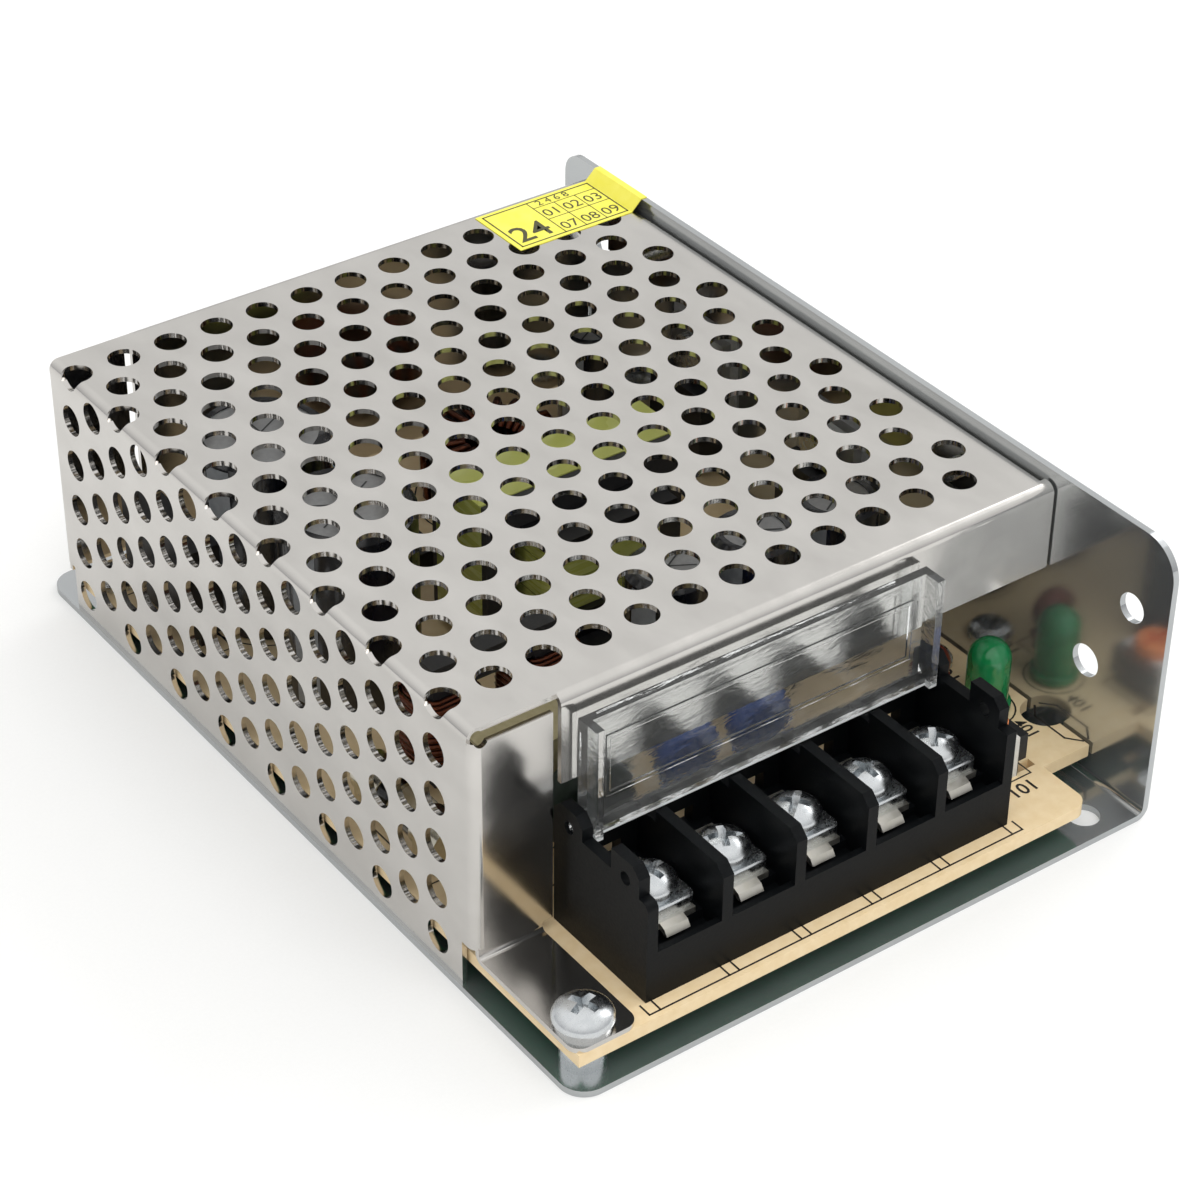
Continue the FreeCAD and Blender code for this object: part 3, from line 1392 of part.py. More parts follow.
fuse_z = "board_top + fuse_height"
keep(rod("fuse_tube", "fuse_x", "fuse_y - fuse_length / 2", fuse_z, "fuse_radius", "fuse_length", "Y"))
caps = []
for number, start in enumerate(("fuse_y - fuse_length / 2 - 1", "fuse_y + fuse_length / 2 + 1 - fuse_cap_length"), 1):
    shell = rod("fuse_cap_shell_%d" % number, "fuse_x", start, fuse_z, "fuse_cap_radius", "fuse_cap_length", "Y")
    clip = block("fuse_clip_%d" % number, "fuse_x - fuse_cap_radius", "%s + 0.8" % start, "board_top",
                 "2 * fuse_cap_radius", "fuse_cap_length - 1.6", "fuse_height")
    body = fuse("fuse_cap_body_%d" % number, [shell, clip])
    hollow = rod("fuse_cap_hollow_%d" % number, "fuse_x", "fuse_y - fuse_length / 2", fuse_z,
                 "fuse_radius", "fuse_length", "Y")
    caps.append(cut("fuse_cap_%d" % number, body, hollow))
keep(group("fuse_caps", caps))

# Bridge rectifier: a flat upright package on four leads

bridge_parts = [block("bridge_package", "bridge_x - bridge_width / 2", "bridge_y - bridge_length / 2",
                      "board_top + bridge_stand", "bridge_width", "bridge_length", "bridge_height")]
for number in range(4):
    bridge_parts.append(block("bridge_lead_%d" % (number + 1), "bridge_x - lead_width / 2",
                              "bridge_y - 1.5 * bridge_length / 4 + %d * bridge_length / 4 - lead_width / 2"
                              % number, "board_top", "lead_width", "lead_width", "bridge_stand"))
keep(fuse("bridge_rectifier", bridge_parts))


# Power devices: tabbed packages screwed to the wall over insulating pads

def wall_device(label, y):
    foot = "board_top + device_stand"
    tab = block(label + "_tab", "device_face - device_tab", "%s - device_width / 2" % y, foot,
                "device_tab", "device_width", "device_height")
    moulding = block(label + "_moulding", "device_face - device_thickness", "%s - device_width / 2" % y,
                     foot, "device_thickness", "device_width", "device_body")
    leads = [block("%s_lead_%d" % (label, number), "device_face - device_thickness / 2 - lead_thickness",
                   "%s + %d * lead_spacing - lead_thickness / 2" % (y, number - 2), "board_top",
                   "lead_thickness", "lead_thickness", "device_stand") for number in (1, 2, 3)]
    hole = rod(label + "_hole", "device_face - device_tab - 1", y, "device_hole",
               "device_screw_radius + screw_clearance", "device_tab + 2", "X")
    return cut(label, fuse(label + "_solid", [tab, moulding] + leads), hole)


keep(wall_device("output_rectifier", "rectifier_y"))
keep(wall_device("switching_transistor", "switch_y"))
pads = []
device_screws = []
for number, (y, z) in enumerate(device_spots, 1):
    sheet_pad = block("pad_sheet_%d" % number, "device_face", "%s - device_width / 2 - pad_margin" % y,
                      "board_top + device_stand - pad_margin", "pad_thickness",
                      "device_width + 2 * pad_margin", "device_height + 2 * pad_margin")
    pad_hole = rod("pad_hole_%d" % number, "device_face - 1", y, z, "device_screw_radius + screw_clearance",
                   "pad_thickness + 2", "X")
    pads.append(cut("pad_%d" % number, sheet_pad, pad_hole))
    shank = rod("device_shank_%d" % number, "device_face - device_tab", y, z,
                "device_screw_radius - running_clearance", "device_tab + pad_thickness + chassis_sheet", "X")
    head = rod("device_head_%d" % number, "device_face - device_tab - device_screw_head_height", y, z,
               "device_screw_head", "device_screw_head_height", "X")
    device_screws.append(fuse("device_screw_%d" % number, [shank, head]))
keep(group("insulating_pads", pads))
keep(group("device_screws", device_screws))

# Output choke: a ring core lying on the board with evenly spread turns of wire

ring = turned("output_choke_core", [
    ("toroid_inner", "toroid_wire + toroid_wire + 0.3"),
    ("toroid_outer", "toroid_wire + toroid_wire + 0.3"),
    ("toroid_outer", "toroid_wire + toroid_wire + 0.3 + toroid_thickness"),
    ("toroid_inner", "toroid_wire + toroid_wire + 0.3 + toroid_thickness"),
])
place(ring, "toroid_x", "toroid_y", "board_top")
keep(ring)


def wire_turn(angle):
    """One rectangular turn of wire round the ring's section, at an angle about the ring's axis."""
    thick = 2 * val("toroid_wire")
    inner_face = val("toroid_inner") - 0.1
    outer_face = val("toroid_outer") + 0.1
    low = thick + 0.2
    high = thick + 0.4 + val("toroid_thickness")
    loop = Part.makeBox(outer_face - inner_face + 2 * thick, thick, high - low + 2 * thick,
                        Vector(inner_face - thick, -thick / 2, low - thick))
    hollow = Part.makeBox(outer_face - inner_face, thick + 2, high - low,
                          Vector(inner_face, -thick / 2 - 1, low))
    turn = loop.cut(hollow)
    turn.rotate(Vector(), Vector(0, 0, 1), angle)
    return turn


turn_count = int(val("toroid_turns"))
coil = doc.addObject("Part::Feature", "output_choke_winding")
coil.Label = "output_choke_winding"
coil.Shape = Part.makeCompound([wire_turn(360.0 * number / turn_count) for number in range(turn_count)])
coil.Placement = Placement(Vector(val("toroid_x"), val("toroid_y"), val("board_top")), Rotation())
keep(coil)


# Small packages with two rows of legs

def legged_chip(label, x, y, length):
    package = block(label + "_package", "%s - chip_width / 2" % x, "%s - (%s) / 2" % (y, length),
                    "board_top + chip_stand", "chip_width", length, "chip_height")
    pieces = [package]
    for number in range(4):
        for side, offset in (("left", "- chip_width / 2 - lead_width"), ("right", "+ chip_width / 2")):
            pieces.append(block("%s_leg_%s_%d" % (label, side, number), "%s %s" % (x, offset),
                                "%s - 3 * (%s) / 8 + %d * (%s) / 4 - lead_width / 2"
                                % (y, length, number, length),
                                "board_top", "lead_width", "lead_width", "chip_stand + chip_height / 2"))
    return fuse(label, pieces)


keep(legged_chip("controller_chip", "chip_x", "chip_y", "chip_length"))
keep(legged_chip("optocoupler", "coupler_x", "coupler_y", "coupler_length"))

# Power resistors: barrel bodies lying on bent leads

resistors = []
for number in range(3):
    y = "resistor_y - %d * resistor_pitch" % number
    barrel = rod("resistor_barrel_%d" % (number + 1), "resistor_x - resistor_length / 2", y,
                 "board_top + resistor_height", "resistor_radius", "resistor_length", "X")
    wire = block("resistor_wire_%d" % (number + 1), "resistor_x - resistor_length / 2 - 2",
                 y + " - link_radius", "board_top + resistor_height - link_radius",
                 "resistor_length + 4", "2 * link_radius", "2 * link_radius")
    legs = [block("resistor_leg_%d_%s" % (number + 1, side), "resistor_x %s" % offset,
                  y + " - link_radius", "board_top", "2 * link_radius", "2 * link_radius", "resistor_height")
            for side, offset in (("left", "- resistor_length / 2 - 2"),
                                 ("right", "+ resistor_length / 2 + 2 - 2 * link_radius"))]
    resistors.append(fuse("resistor_%d" % (number + 1), [barrel, wire] + legs))
keep(group("power_resistors", resistors))

# Bare wire links across the board
links = []
for number in range(3):
    x = "link_x + %d * link_pitch" % number
    bar = block("link_bar_%d" % (number + 1), "%s - link_radius" % x, "link_y - link_span / 2",
                "board_top + link_height - 2 * link_radius", "2 * link_radius", "link_span", "2 * link_radius")
    ends = [block("link_end_%d_%s" % (number + 1, side), "%s - link_radius" % x, "link_y %s" % offset,
                  "board_top", "2 * link_radius", "2 * link_radius", "link_height")
            for side, offset in (("front", "- link_span / 2"), ("back", "+ link_span / 2 - 2 * link_radius"))]
    links.append(fuse("link_%d" % (number + 1), [bar] + ends))
keep(group("wire_links", links))

# Countersunk screws through the wall into the cover's flange

cover_screws = []
for number, (y, z) in enumerate(cover_screw_spots, 1):
    screw = turned("cover_screw_%d" % number, [
        ("0", "-cover_screw_depth"),
        ("cover_screw_radius - running_clearance - 0.1", "-cover_screw_depth"),
        ("cover_screw_radius - running_clearance - 0.1", "-chassis_sheet"),
        ("cover_screw_head - 0.3", "0"),
        ("0", "0"),
    ])
    screw.Placement = Placement(Vector(), AXES["X"])
    cover_screws.append(place(screw, "case_width / 2", y, z))
keep(group("cover_screws", cover_screws))

# Everything is checked before any file is written
doc.recompute()
for obj in doc.Objects:
    if "Invalid" in obj.State or "Error" in obj.State:
        raise RuntimeError("%s (%s) did not build" % (obj.Name, obj.Label))
for node in nodes:
    if node.Shape.isNull() or not node.Shape.isValid() or not node.Shape.Solids:
        raise RuntimeError("%s has no sound shape" % node.Label)

os.makedirs("parts", exist_ok=True)
for node in nodes:
    node.Shape.exportStep("parts/%s.step" % node.Label)
print(len(nodes), "nodes")
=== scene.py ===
import math

import bmesh
import bpy
from mathutils import Matrix, Vector


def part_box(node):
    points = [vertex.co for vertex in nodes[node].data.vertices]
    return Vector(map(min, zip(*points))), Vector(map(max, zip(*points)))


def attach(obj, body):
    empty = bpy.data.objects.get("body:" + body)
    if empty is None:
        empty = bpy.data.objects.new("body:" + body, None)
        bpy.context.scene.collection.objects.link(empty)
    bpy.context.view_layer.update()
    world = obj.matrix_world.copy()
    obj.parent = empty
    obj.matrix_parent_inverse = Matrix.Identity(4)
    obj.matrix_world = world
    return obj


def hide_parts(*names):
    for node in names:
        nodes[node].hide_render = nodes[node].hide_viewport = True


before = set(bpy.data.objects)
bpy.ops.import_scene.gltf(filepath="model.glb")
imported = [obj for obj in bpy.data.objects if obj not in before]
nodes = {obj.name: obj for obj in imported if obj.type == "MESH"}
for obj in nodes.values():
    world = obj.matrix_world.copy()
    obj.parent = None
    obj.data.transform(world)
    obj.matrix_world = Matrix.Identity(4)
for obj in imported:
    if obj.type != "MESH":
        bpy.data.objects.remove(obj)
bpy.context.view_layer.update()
scene = bpy.context.scene
mm = 0.001

# Studio: a sheet of pale card on a table, a large soft box overhead, a smaller one to the right.
# The overhead box stays out of mirror images, so that bright steel shows the pale room in its place.
# The camera stands where the photograph was taken from, about 0.37 m away with a long lens.


def linear(code):
    """An sRGB hex colour as linear red, green, blue and alpha."""
    parts = [int(code[i:i + 2], 16) / 255 for i in (1, 3, 5)]
    return [c / 12.92 if c <= 0.04045 else ((c + 0.055) / 1.055) ** 2.4 for c in parts] + [1.0]


def add(tree, kind, inputs=None, **settings):
    """Adds a shader node; each input is a value or the output that feeds it."""
    made = tree.nodes.new("ShaderNode" + kind)
    for name, value in settings.items():
        setattr(made, name, value)
    for name, value in (inputs or {}).items():
        if isinstance(value, bpy.types.NodeSocket):
            tree.links.new(value, made.inputs[name])
        else:
            made.inputs[name].default_value = value
    return made


def material(name, sockets):
    """A material with its shader's own sockets set, its node tree and its shader."""
    made = bpy.data.materials.new(name)
    made.use_nodes = True
    shader = made.node_tree.nodes["Principled BSDF"]
    for socket, value in sockets.items():
        shader.inputs[socket].default_value = value
    return made, made.node_tree, shader


scene.view_settings.view_transform = "Standard"
fibre_length = 0.4 * mm
card_glow = 0.2
card, tree, shader = material("white card", {"Roughness": 0.7, "Emission Color": linear("#FFFFFF")})
fibre = add(tree, "TexNoise", {"Vector": add(tree, "TexCoord").outputs["Object"], "Scale": 1 / fibre_length})
tone = add(tree, "MixRGB", {"Fac": fibre.outputs["Fac"], "Color1": linear("#E4E4E3"),
                            "Color2": linear("#DFDFDE")})
tree.links.new(tone.outputs["Color"], shader.inputs["Base Color"])
path = add(tree, "LightPath")
seen = add(tree, "Math", {0: path.outputs["Is Camera Ray"], 1: path.outputs["Is Transmission Ray"]},
           operation="MAXIMUM")
lift = add(tree, "Math", {0: seen.outputs["Value"], 1: card_glow}, operation="MULTIPLY")
tree.links.new(lift.outputs["Value"], shader.inputs["Emission Strength"])
floor_mesh = bpy.data.meshes.new("card_floor")
sheet_half = 6.0
corners = [(x * sheet_half, y * sheet_half, 0) for x, y in ((-1, -1), (1, -1), (1, 1), (-1, 1))]
floor_mesh.from_pydata(corners, [], [(0, 1, 2, 3)])
floor_mesh.materials.append(card)
floor = bpy.data.objects.new("card_floor", floor_mesh)
scene.collection.objects.link(floor)

room = bpy.data.worlds.new("pale room")
scene.world = room
room.use_nodes = True
sky = room.node_tree
height = add(sky, "SeparateXYZ", {"Vector": add(sky, "TexCoord").outputs["Generated"]})
glow = add(sky, "ValToRGB", {"Fac": height.outputs["Z"]})
stops = glow.color_ramp.elements
stops[0].position, stops[0].color = 0.0, linear("#B8B8BA")
stops[1].position, stops[1].color = 0.78, linear("#F6F6F5")
middle_stop = stops.new(0.45)
middle_stop.color = linear("#E0E0DF")
sky.links.new(glow.outputs["Color"], sky.nodes["Background"].inputs["Color"])
sky.nodes["Background"].inputs["Strength"].default_value = 1.0

object_middle = Vector((0.0, 0.0, 20 * mm))
for name, place, size, power, mirrored in (
        ("overhead_softbox", (-0.075, -0.675, 1.335), 1.3, 8.2, False),
        ("side_softbox", (1.0, 0.1, 0.64), 0.8, 4.2, True)):
    light = bpy.data.lights.new(name, "AREA")
    light.shape = "RECTANGLE"
    light.size = size
    light.size_y = size
    light.energy = power
    lamp = bpy.data.objects.new(name, light)
    lamp.location = place
    lamp.visible_glossy = mirrored
    lamp.rotation_euler = (object_middle - Vector(place)).to_track_quat("-Z", "Y").to_euler()
    scene.collection.objects.link(lamp)

lens = bpy.data.cameras.new("camera")
lens.lens = 97.05
lens.sensor_width = 36
lens.clip_start = 0.01
lens.clip_end = 50
camera = bpy.data.objects.new("camera", lens)
camera.location = (-0.17598, -0.242675, 0.228229)
camera.rotation_euler = (math.radians(54.403), math.radians(-0.5674), math.radians(-36.1251))
scene.collection.objects.link(camera)
scene.camera = camera

# Chassis: 0.8 mm galvanised steel, rolled bright, blanked, punched and folded once.
# Its skin pass leaves it mirror-like but milky, with faint waves along its length.


def dress(finish, *names):
    """Gives CAD nodes a finish in place of their packed material."""
    for name in names:
        for holder in nodes[name].material_slots:
            holder.material = finish


def surface(tree, shader, tones, size, rough, stretch=(1, 1, 1), bump=0.0, detail=4.0):
    """Drives colour, roughness and bump from one stretched noise; size is its grain in metres.

    Colour and roughness wander between the two tones and the two rough values. Real plating and moulded
    skins are finer than a pixel, so their grain is drawn coarse enough to show.
    """
    dark_at, light_at = 0.3, 0.7
    where = add(tree, "Mapping", {"Vector": add(tree, "TexCoord").outputs["Object"], "Scale": stretch})
    noise = add(tree, "TexNoise", {"Vector": where.outputs["Vector"], "Scale": 1 / size, "Detail": detail})
    ramp = add(tree, "ValToRGB", {"Fac": noise.outputs["Fac"]})
    ramp.color_ramp.elements[0].position = dark_at
    ramp.color_ramp.elements[1].position = light_at
    ramp.color_ramp.elements[0].color = linear(tones[0])
    ramp.color_ramp.elements[1].color = linear(tones[1])
    tree.links.new(ramp.outputs["Color"], shader.inputs["Base Color"])
    spread = add(tree, "MapRange", {"Value": noise.outputs["Fac"], "From Min": dark_at,
                                    "From Max": light_at, "To Min": rough[0], "To Max": rough[1]})
    tree.links.new(spread.outputs["Result"], shader.inputs["Roughness"])
    if bump:
        relief = add(tree, "Bump", {"Height": noise.outputs["Fac"], "Strength": bump,
                                    "Distance": 0.05 * mm})
        tree.links.new(relief.outputs["Normal"], shader.inputs["Normal"])
    return ramp


bright_steel, tree, shader = material("bright galvanised steel", {"Metallic": 0.86})
surface(tree, shader, ("#BCBFC1", "#C8CBCC"), 9 * mm, (0.1, 0.17), stretch=(1.0, 0.25, 1.0), bump=0.06)
dress(bright_steel, "chassis")

# Mesh cover: 0.6 mm plated steel, punched with staggered 3.8 mm holes while flat, then folded.
# Tumbling and handling leave a satin skin, a little cloudier than the chassis.

satin_steel, tree, shader = material("satin plated steel", {"Metallic": 1.0})
surface(tree, shader, ("#D3D0CC", "#DFDCD8"), 5 * mm, (0.12, 0.2), stretch=(1.0, 0.5, 1.0), bump=0.06,
        detail=6.0)
dress(satin_steel, "mesh_cover")

# Circuit board: 1.6 mm composite laminate, beige where it is bare on top, green solder mask below.
# The legend is screen printed in black ink; soldered leads stand as bright domes underneath.

laminate, tree, shader = material("composite laminate", {"IOR": 1.5})
ramp = surface(tree, shader, ("#F6DBAC", "#FDE5BB"), 1.2 * mm, (0.42, 0.58), bump=0.15, detail=8.0)
facing = add(tree, "SeparateXYZ", {"Vector": add(tree, "NewGeometry").outputs["Normal"]})
under = add(tree, "Math", {0: facing.outputs["Z"], 1: -0.5}, operation="LESS_THAN")
coat = add(tree, "MixRGB", {"Fac": under.outputs["Value"], "Color1": ramp.outputs["Color"],
                            "Color2": linear("#127A54")})
tree.links.new(coat.outputs["Color"], shader.inputs["Base Color"])
dress(laminate, "circuit_board")

ink, tree, shader = material("black legend ink", {"IOR": 1.5})
surface(tree, shader, ("#211D1A", "#302B27"), 0.3 * mm, (0.5, 0.6))


def joined(name, parts, finish):
    """One object from several bmesh shapes."""
    mesh = bpy.data.meshes.new(name)
    whole = bmesh.new()
    for part in parts:
        scrap = bpy.data.meshes.new("scrap")
        part.to_mesh(scrap)
        part.free()
        whole.from_mesh(scrap)
        bpy.data.meshes.remove(scrap)
    whole.to_mesh(mesh)
    whole.free()
    mesh.materials.append(finish)
    made = bpy.data.objects.new(name, mesh)
    scene.collection.objects.link(made)
    return made


def belongs(piece, body, slot, *replaced):
    """Ties a finished piece to its body and hides the nodes that it stands for; slot is not used."""
    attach(piece, body)
    if replaced:
        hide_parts(*replaced)


def inked(points, width, z, closed=False):
    """A printed line through points in millimetres, as flat strips at height z."""
    shape = bmesh.new()
    pairs = list(zip(points, points[1:])) + ([(points[-1], points[0])] if closed else [])
    for (ax, ay), (bx, by) in pairs:
        along = Vector((bx - ax, by - ay, 0)).normalized() * width / 2
        side = Vector((-along.y, along.x, 0))
        a = Vector((ax, ay, z)) - along
        b = Vector((bx, by, z)) + along
        corners = [a - side, b - side, b + side, a + side]
        shape.faces.new([shape.verts.new(corner * mm) for corner in corners])
    return shape


def box_outline(x, y, width, depth):
    """Corners of a rectangle about its middle."""
    return [(x - width / 2, y - depth / 2), (x + width / 2, y - depth / 2),
            (x + width / 2, y + depth / 2), (x - width / 2, y + depth / 2)]


def ring_outline(x, y, radius, count=32):
    """Corners of a circle."""
    return [(x + radius * math.cos(2 * math.pi * i / count), y + radius * math.sin(2 * math.pi * i / count))
            for i in range(count)]


def spot(name):
    """The middle of a CAD node's box in millimetres."""
    low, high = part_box(name)
    return (low + high) / 2 / mm


def row(name, count, axis):
    """Middles of a row of like round parts, along one axis of their CAD node's box, in millimetres."""
    low, high = (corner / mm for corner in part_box(name))
    across = 1 - axis
    radius = (high[across] - low[across]) / 2
    step = (high[axis] - low[axis] - 2 * radius) / (count - 1)
    spots = []
    for number in range(count):
        place = [0.0, 0.0]
        place[axis] = round(low[axis] + radius + number * step, 2)
        place[across] = round((low[across] + high[across]) / 2, 2)
        spots.append(tuple(place))
    return spots


board_low, board_top = (corner.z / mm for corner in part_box("circuit_board"))
print_z = board_top + 0.02
screw_spots = [spot("terminal_screw_%d" % number) for number in range(1, 6)]
block_low, block_high = (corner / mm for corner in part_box("terminal_block"))
line_width, ring_width, notch_width = 0.22, 0.2, 0.25
front_line = block_low.y - 1.6
left_line, right_line = block_low.x - 0.7, block_high.x + 0.8
legend = [inked([(left_line, block_low.y), (left_line, front_line), (right_line, front_line),
                 (right_line, block_low.y)], line_width, print_z)]
pole_pitch = screw_spots[1].x - screw_spots[0].x
divider_half = 0.65
for screw_spot in screw_spots[:-1]:
    divider = screw_spot.x + pole_pitch / 2
    for tick in (divider - divider_half, divider + divider_half):
        legend.append(inked([(tick, front_line), (tick, block_low.y)], line_width, print_z))
for tick in (left_line + 1.4, right_line - 1.4):
    legend.append(inked([(tick, front_line), (tick, block_low.y)], line_width, print_z))
notch_frame = [(37.8, -37.3), (36.5, -38.8), (36.5, -43.7), (37.8, -45.3)]
legend.append(inked(notch_frame, notch_width, print_z))
for name, grow in (("trimmer_body", 1.0), ("brown_capacitor", 1.2), ("bridge_rectifier", 1.2),
                   ("fuse_caps", 0.8), ("controller_chip", 1.0), ("optocoupler", 1.0),
                   ("transformer_bobbin", 1.0), ("film_capacitor", 1.0), ("filter_choke_windings", 1.0),
                   ("inrush_thermistor", 1.2)):
    low, high = (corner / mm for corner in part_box(name))
    legend.append(inked(box_outline((low.x + high.x) / 2, (low.y + high.y) / 2, high.x - low.x + grow,
                                    high.y - low.y + grow), ring_width, print_z, True))
lamp_spot = spot("power_led")
trimmer_spot = spot("trimmer_body")
bulk_spots = row("input_capacitors", 2, 1)
output_spots = row("output_capacitors", 3, 0)
bias_spot = spot("bias_can")
ring_spot = spot("output_choke_core")
bulk_ring, output_ring, bias_ring, choke_ring, lamp_ring = 8.6, 5.5, 4.6, 9.8, 3.5
for x, y, radius in ([(x, y, bulk_ring) for x, y in bulk_spots]
                     + [(x, y, output_ring) for x, y in output_spots]
                     + [(bias_spot.x, bias_spot.y, bias_ring), (ring_spot.x, ring_spot.y, choke_ring),
                        (lamp_spot.x, lamp_spot.y, lamp_ring)]):
    legend.append(inked(ring_outline(x, y, radius), ring_width, print_z, True))


def numeral(text, x, y, z, size, turn=0.0, weight=0.035):
    """A plain printed number, its foot at x, y in millimetres; weight thickens its strokes."""
    curve = bpy.data.curves.new("numeral", "FONT")
    curve.body = text
    curve.size = size * mm
    curve.offset = weight * mm
    curve.resolution_u = 3
    written = bpy.data.objects.new("numeral", curve)
    scene.collection.objects.link(written)
    bpy.context.view_layer.update()
    flat = bpy.data.meshes.new_from_object(written.evaluated_get(bpy.context.evaluated_depsgraph_get()))
    flat.transform(Matrix.Translation(Vector((x, y, z)) * mm) @ Matrix.Rotation(turn, 4, "Z"))
    bpy.data.objects.remove(written)
    bpy.data.curves.remove(curve)
    shape = bmesh.new()
    shape.from_mesh(flat)
    bpy.data.meshes.remove(flat)
    return shape


legend += [
    numeral("101", 24.6, -48.6, print_z, 2.6),
    numeral("401", 33.4, -38.2, print_z, 2.3, turn=math.radians(-90)),
    numeral("01", 32.6, -26.0, print_z, 2.8, turn=math.radians(-90)),
    numeral("12", 5.0, -33.0, print_z, 2.0),
    numeral("3", -30.5, 47.0, print_z, 2.2),
]
belongs(joined("board_legend", legend, ink), "case", "laminate")


def turned(outline, segments=48, middle=(0, 0, 0)):
    """A shape turned about Z from (radius, height) corners in millimetres."""
    shape = bmesh.new()
    rings = []
    for radius, height in outline:
        count = segments if radius else 1
        rings.append([shape.verts.new(((middle[0] + radius * math.cos(2 * math.pi * i / segments)) * mm,
                                       (middle[1] + radius * math.sin(2 * math.pi * i / segments)) * mm,
                                       (middle[2] + height) * mm)) for i in range(count)])
    for low, high in zip(rings, rings[1:]):
        for i in range(segments):
            corners = [low[i % len(low)], low[(i + 1) % len(low)],
                       high[(i + 1) % len(high)], high[i % len(high)]]
            unique = list(dict.fromkeys(corners))
            if len(unique) > 2:
                shape.faces.new(unique)
    bmesh.ops.recalc_face_normals(shape, faces=shape.faces)
    return shape


def smooth(piece, angle=35):
    """Shades a piece smooth except over its sharp edges."""
    shape = bmesh.new()
    shape.from_mesh(piece.data)
    for edge in shape.edges:
        sharp = len(edge.link_faces) != 2 or edge.calc_face_angle() > math.radians(angle)
        edge.smooth = not sharp
    for face in shape.faces:
        face.smooth = True
    shape.to_mesh(piece.data)
    shape.free()
    return piece


solder, tree, shader = material("bright solder", {"Metallic": 1.0})
surface(tree, shader, ("#C9CACB", "#DADBDB"), 0.5 * mm, (0.22, 0.36), bump=0.3)
tag_leg_y = -39.0
lead_pitch, can_lead, trimmer_leg = 2.54, 1.9, 2.5
bobbin_pins, bobbin_pin_x, bobbin_pin_pitch, bobbin_pin_rows = 5, -1.6, 3.4, (1.4, 19.2)
device_lead_x = 35.1
joints = [(screw_spot.x, tag_leg_y) for screw_spot in screw_spots]
joints += [(lamp_spot.x - lead_pitch / 2, lamp_spot.y), (lamp_spot.x + lead_pitch / 2, lamp_spot.y)]
joints += [(trimmer_spot.x + dx * trimmer_leg, trimmer_spot.y + dy * trimmer_leg)
           for dx, dy in ((-1, -1), (1, -1), (0, 1))]
for x, y in bulk_spots + output_spots + [(bias_spot.x, bias_spot.y)]:
    joints += [(x - can_lead, y), (x + can_lead, y)]
for i in range(bobbin_pins):
    joints += [(bobbin_pin_x + bobbin_pin_pitch * i, y) for y in bobbin_pin_rows]
for device in ("output_rectifier", "switching_transistor"):
    joints += [(device_lead_x, spot(device).y + lead_pitch * step) for step in (-1, 0, 1)]
joint_domes = [turned([(0.9, 0), (0.75, -0.25), (0.4, -0.75), (0.25, -1.0), (0, -1.0)], 16,
                      (x, y, board_low)) for x, y in joints]
belongs(smooth(joined("solder_joints", joint_domes, solder), 60), "case", "tinned_wire")

# Terminal block: one black glass-filled PBT moulding, clipped and soldered to the board.
# The mould's spark-eroded faces give a fine, slightly glossy grain; its edges are barely rounded.


def soften(name, width, segments=2, angle=40):
    """Rounds the sharp edges of a CAD node, by a width in millimetres."""
    bevel = nodes[name].modifiers.new("edges", "BEVEL")
    bevel.width = width * mm
    bevel.segments = segments
    bevel.limit_method = "ANGLE"
    bevel.angle_limit = math.radians(angle)
    bevel.use_clamp_overlap = True


black_pbt, tree, shader = material("black moulded PBT", {"IOR": 1.5, "Specular IOR Level": 0.12})
surface(tree, shader, ("#090B0D", "#101214"), 0.35 * mm, (0.34, 0.46), bump=0.2)
dress(black_pbt, "terminal_block")
soften("terminal_block", 0.16)

# Terminal tags: stamped brass, plated with bright tin, pressed into the block's floor.
# Their front lips catch the light between the dividers.

tinned_brass, tree, shader = material("tinned brass", {"Metallic": 1.0})
surface(tree, shader, ("#E2DED2", "#EEEBE3"), 0.8 * mm, (0.36, 0.5), bump=0.1)
dress(tinned_brass, "terminal_tags", "led_leads", "wire_links")

# Screws and clamp plates: cold-headed steel with bright zinc plating.
# The heads take a cross or a flat driver, and the square plates have pressed ridges for the wire.


def carve(piece, cutter):
    """Cuts one object's shape out of another's and removes the cutter."""
    step = piece.modifiers.new("carve", "BOOLEAN")
    step.object = cutter
    step.operation = "DIFFERENCE"
    step.solver = "EXACT"
    bpy.context.view_layer.update()
    cut = bpy.data.meshes.new_from_object(piece.evaluated_get(bpy.context.evaluated_depsgraph_get()))
    piece.modifiers.clear()
    piece.data = cut
    bpy.data.objects.remove(cutter)


def wedge(length, width, depth, top):
    """A tapered bar, narrower at its foot, for one arm pair of a cross recess."""
    shape = bmesh.new()
    ends = []
    for scale, z in ((0.45, top - depth), (1.0, top), (1.0, top + 1)):
        wide = 0.7 if scale < 1 else 1.0
        ends.append([shape.verts.new(Vector((sx * length * scale / 2, sy * width * wide / 2, z)) * mm)
                     for sx, sy in ((-1, -1), (1, -1), (1, 1), (-1, 1))])
    shape.faces.new(ends[0][::-1])
    shape.faces.new(ends[-1])
    for low, high in zip(ends, ends[1:]):
        for i in range(4):
            shape.faces.new([low[i], low[(i + 1) % 4], high[(i + 1) % 4], high[i]])
    return shape


def slab(width, depth, low, high, x=0.0, y=0.0):
    """A box about x, y between two heights, in millimetres."""
    shape = bmesh.new()
    bmesh.ops.create_cube(shape, size=1.0)
    for corner in shape.verts:
        corner.co = Vector(((x + corner.co.x * width) * mm, (y + corner.co.y * depth) * mm,
                            (low + (corner.co.z + 0.5) * (high - low)) * mm))
    return shape


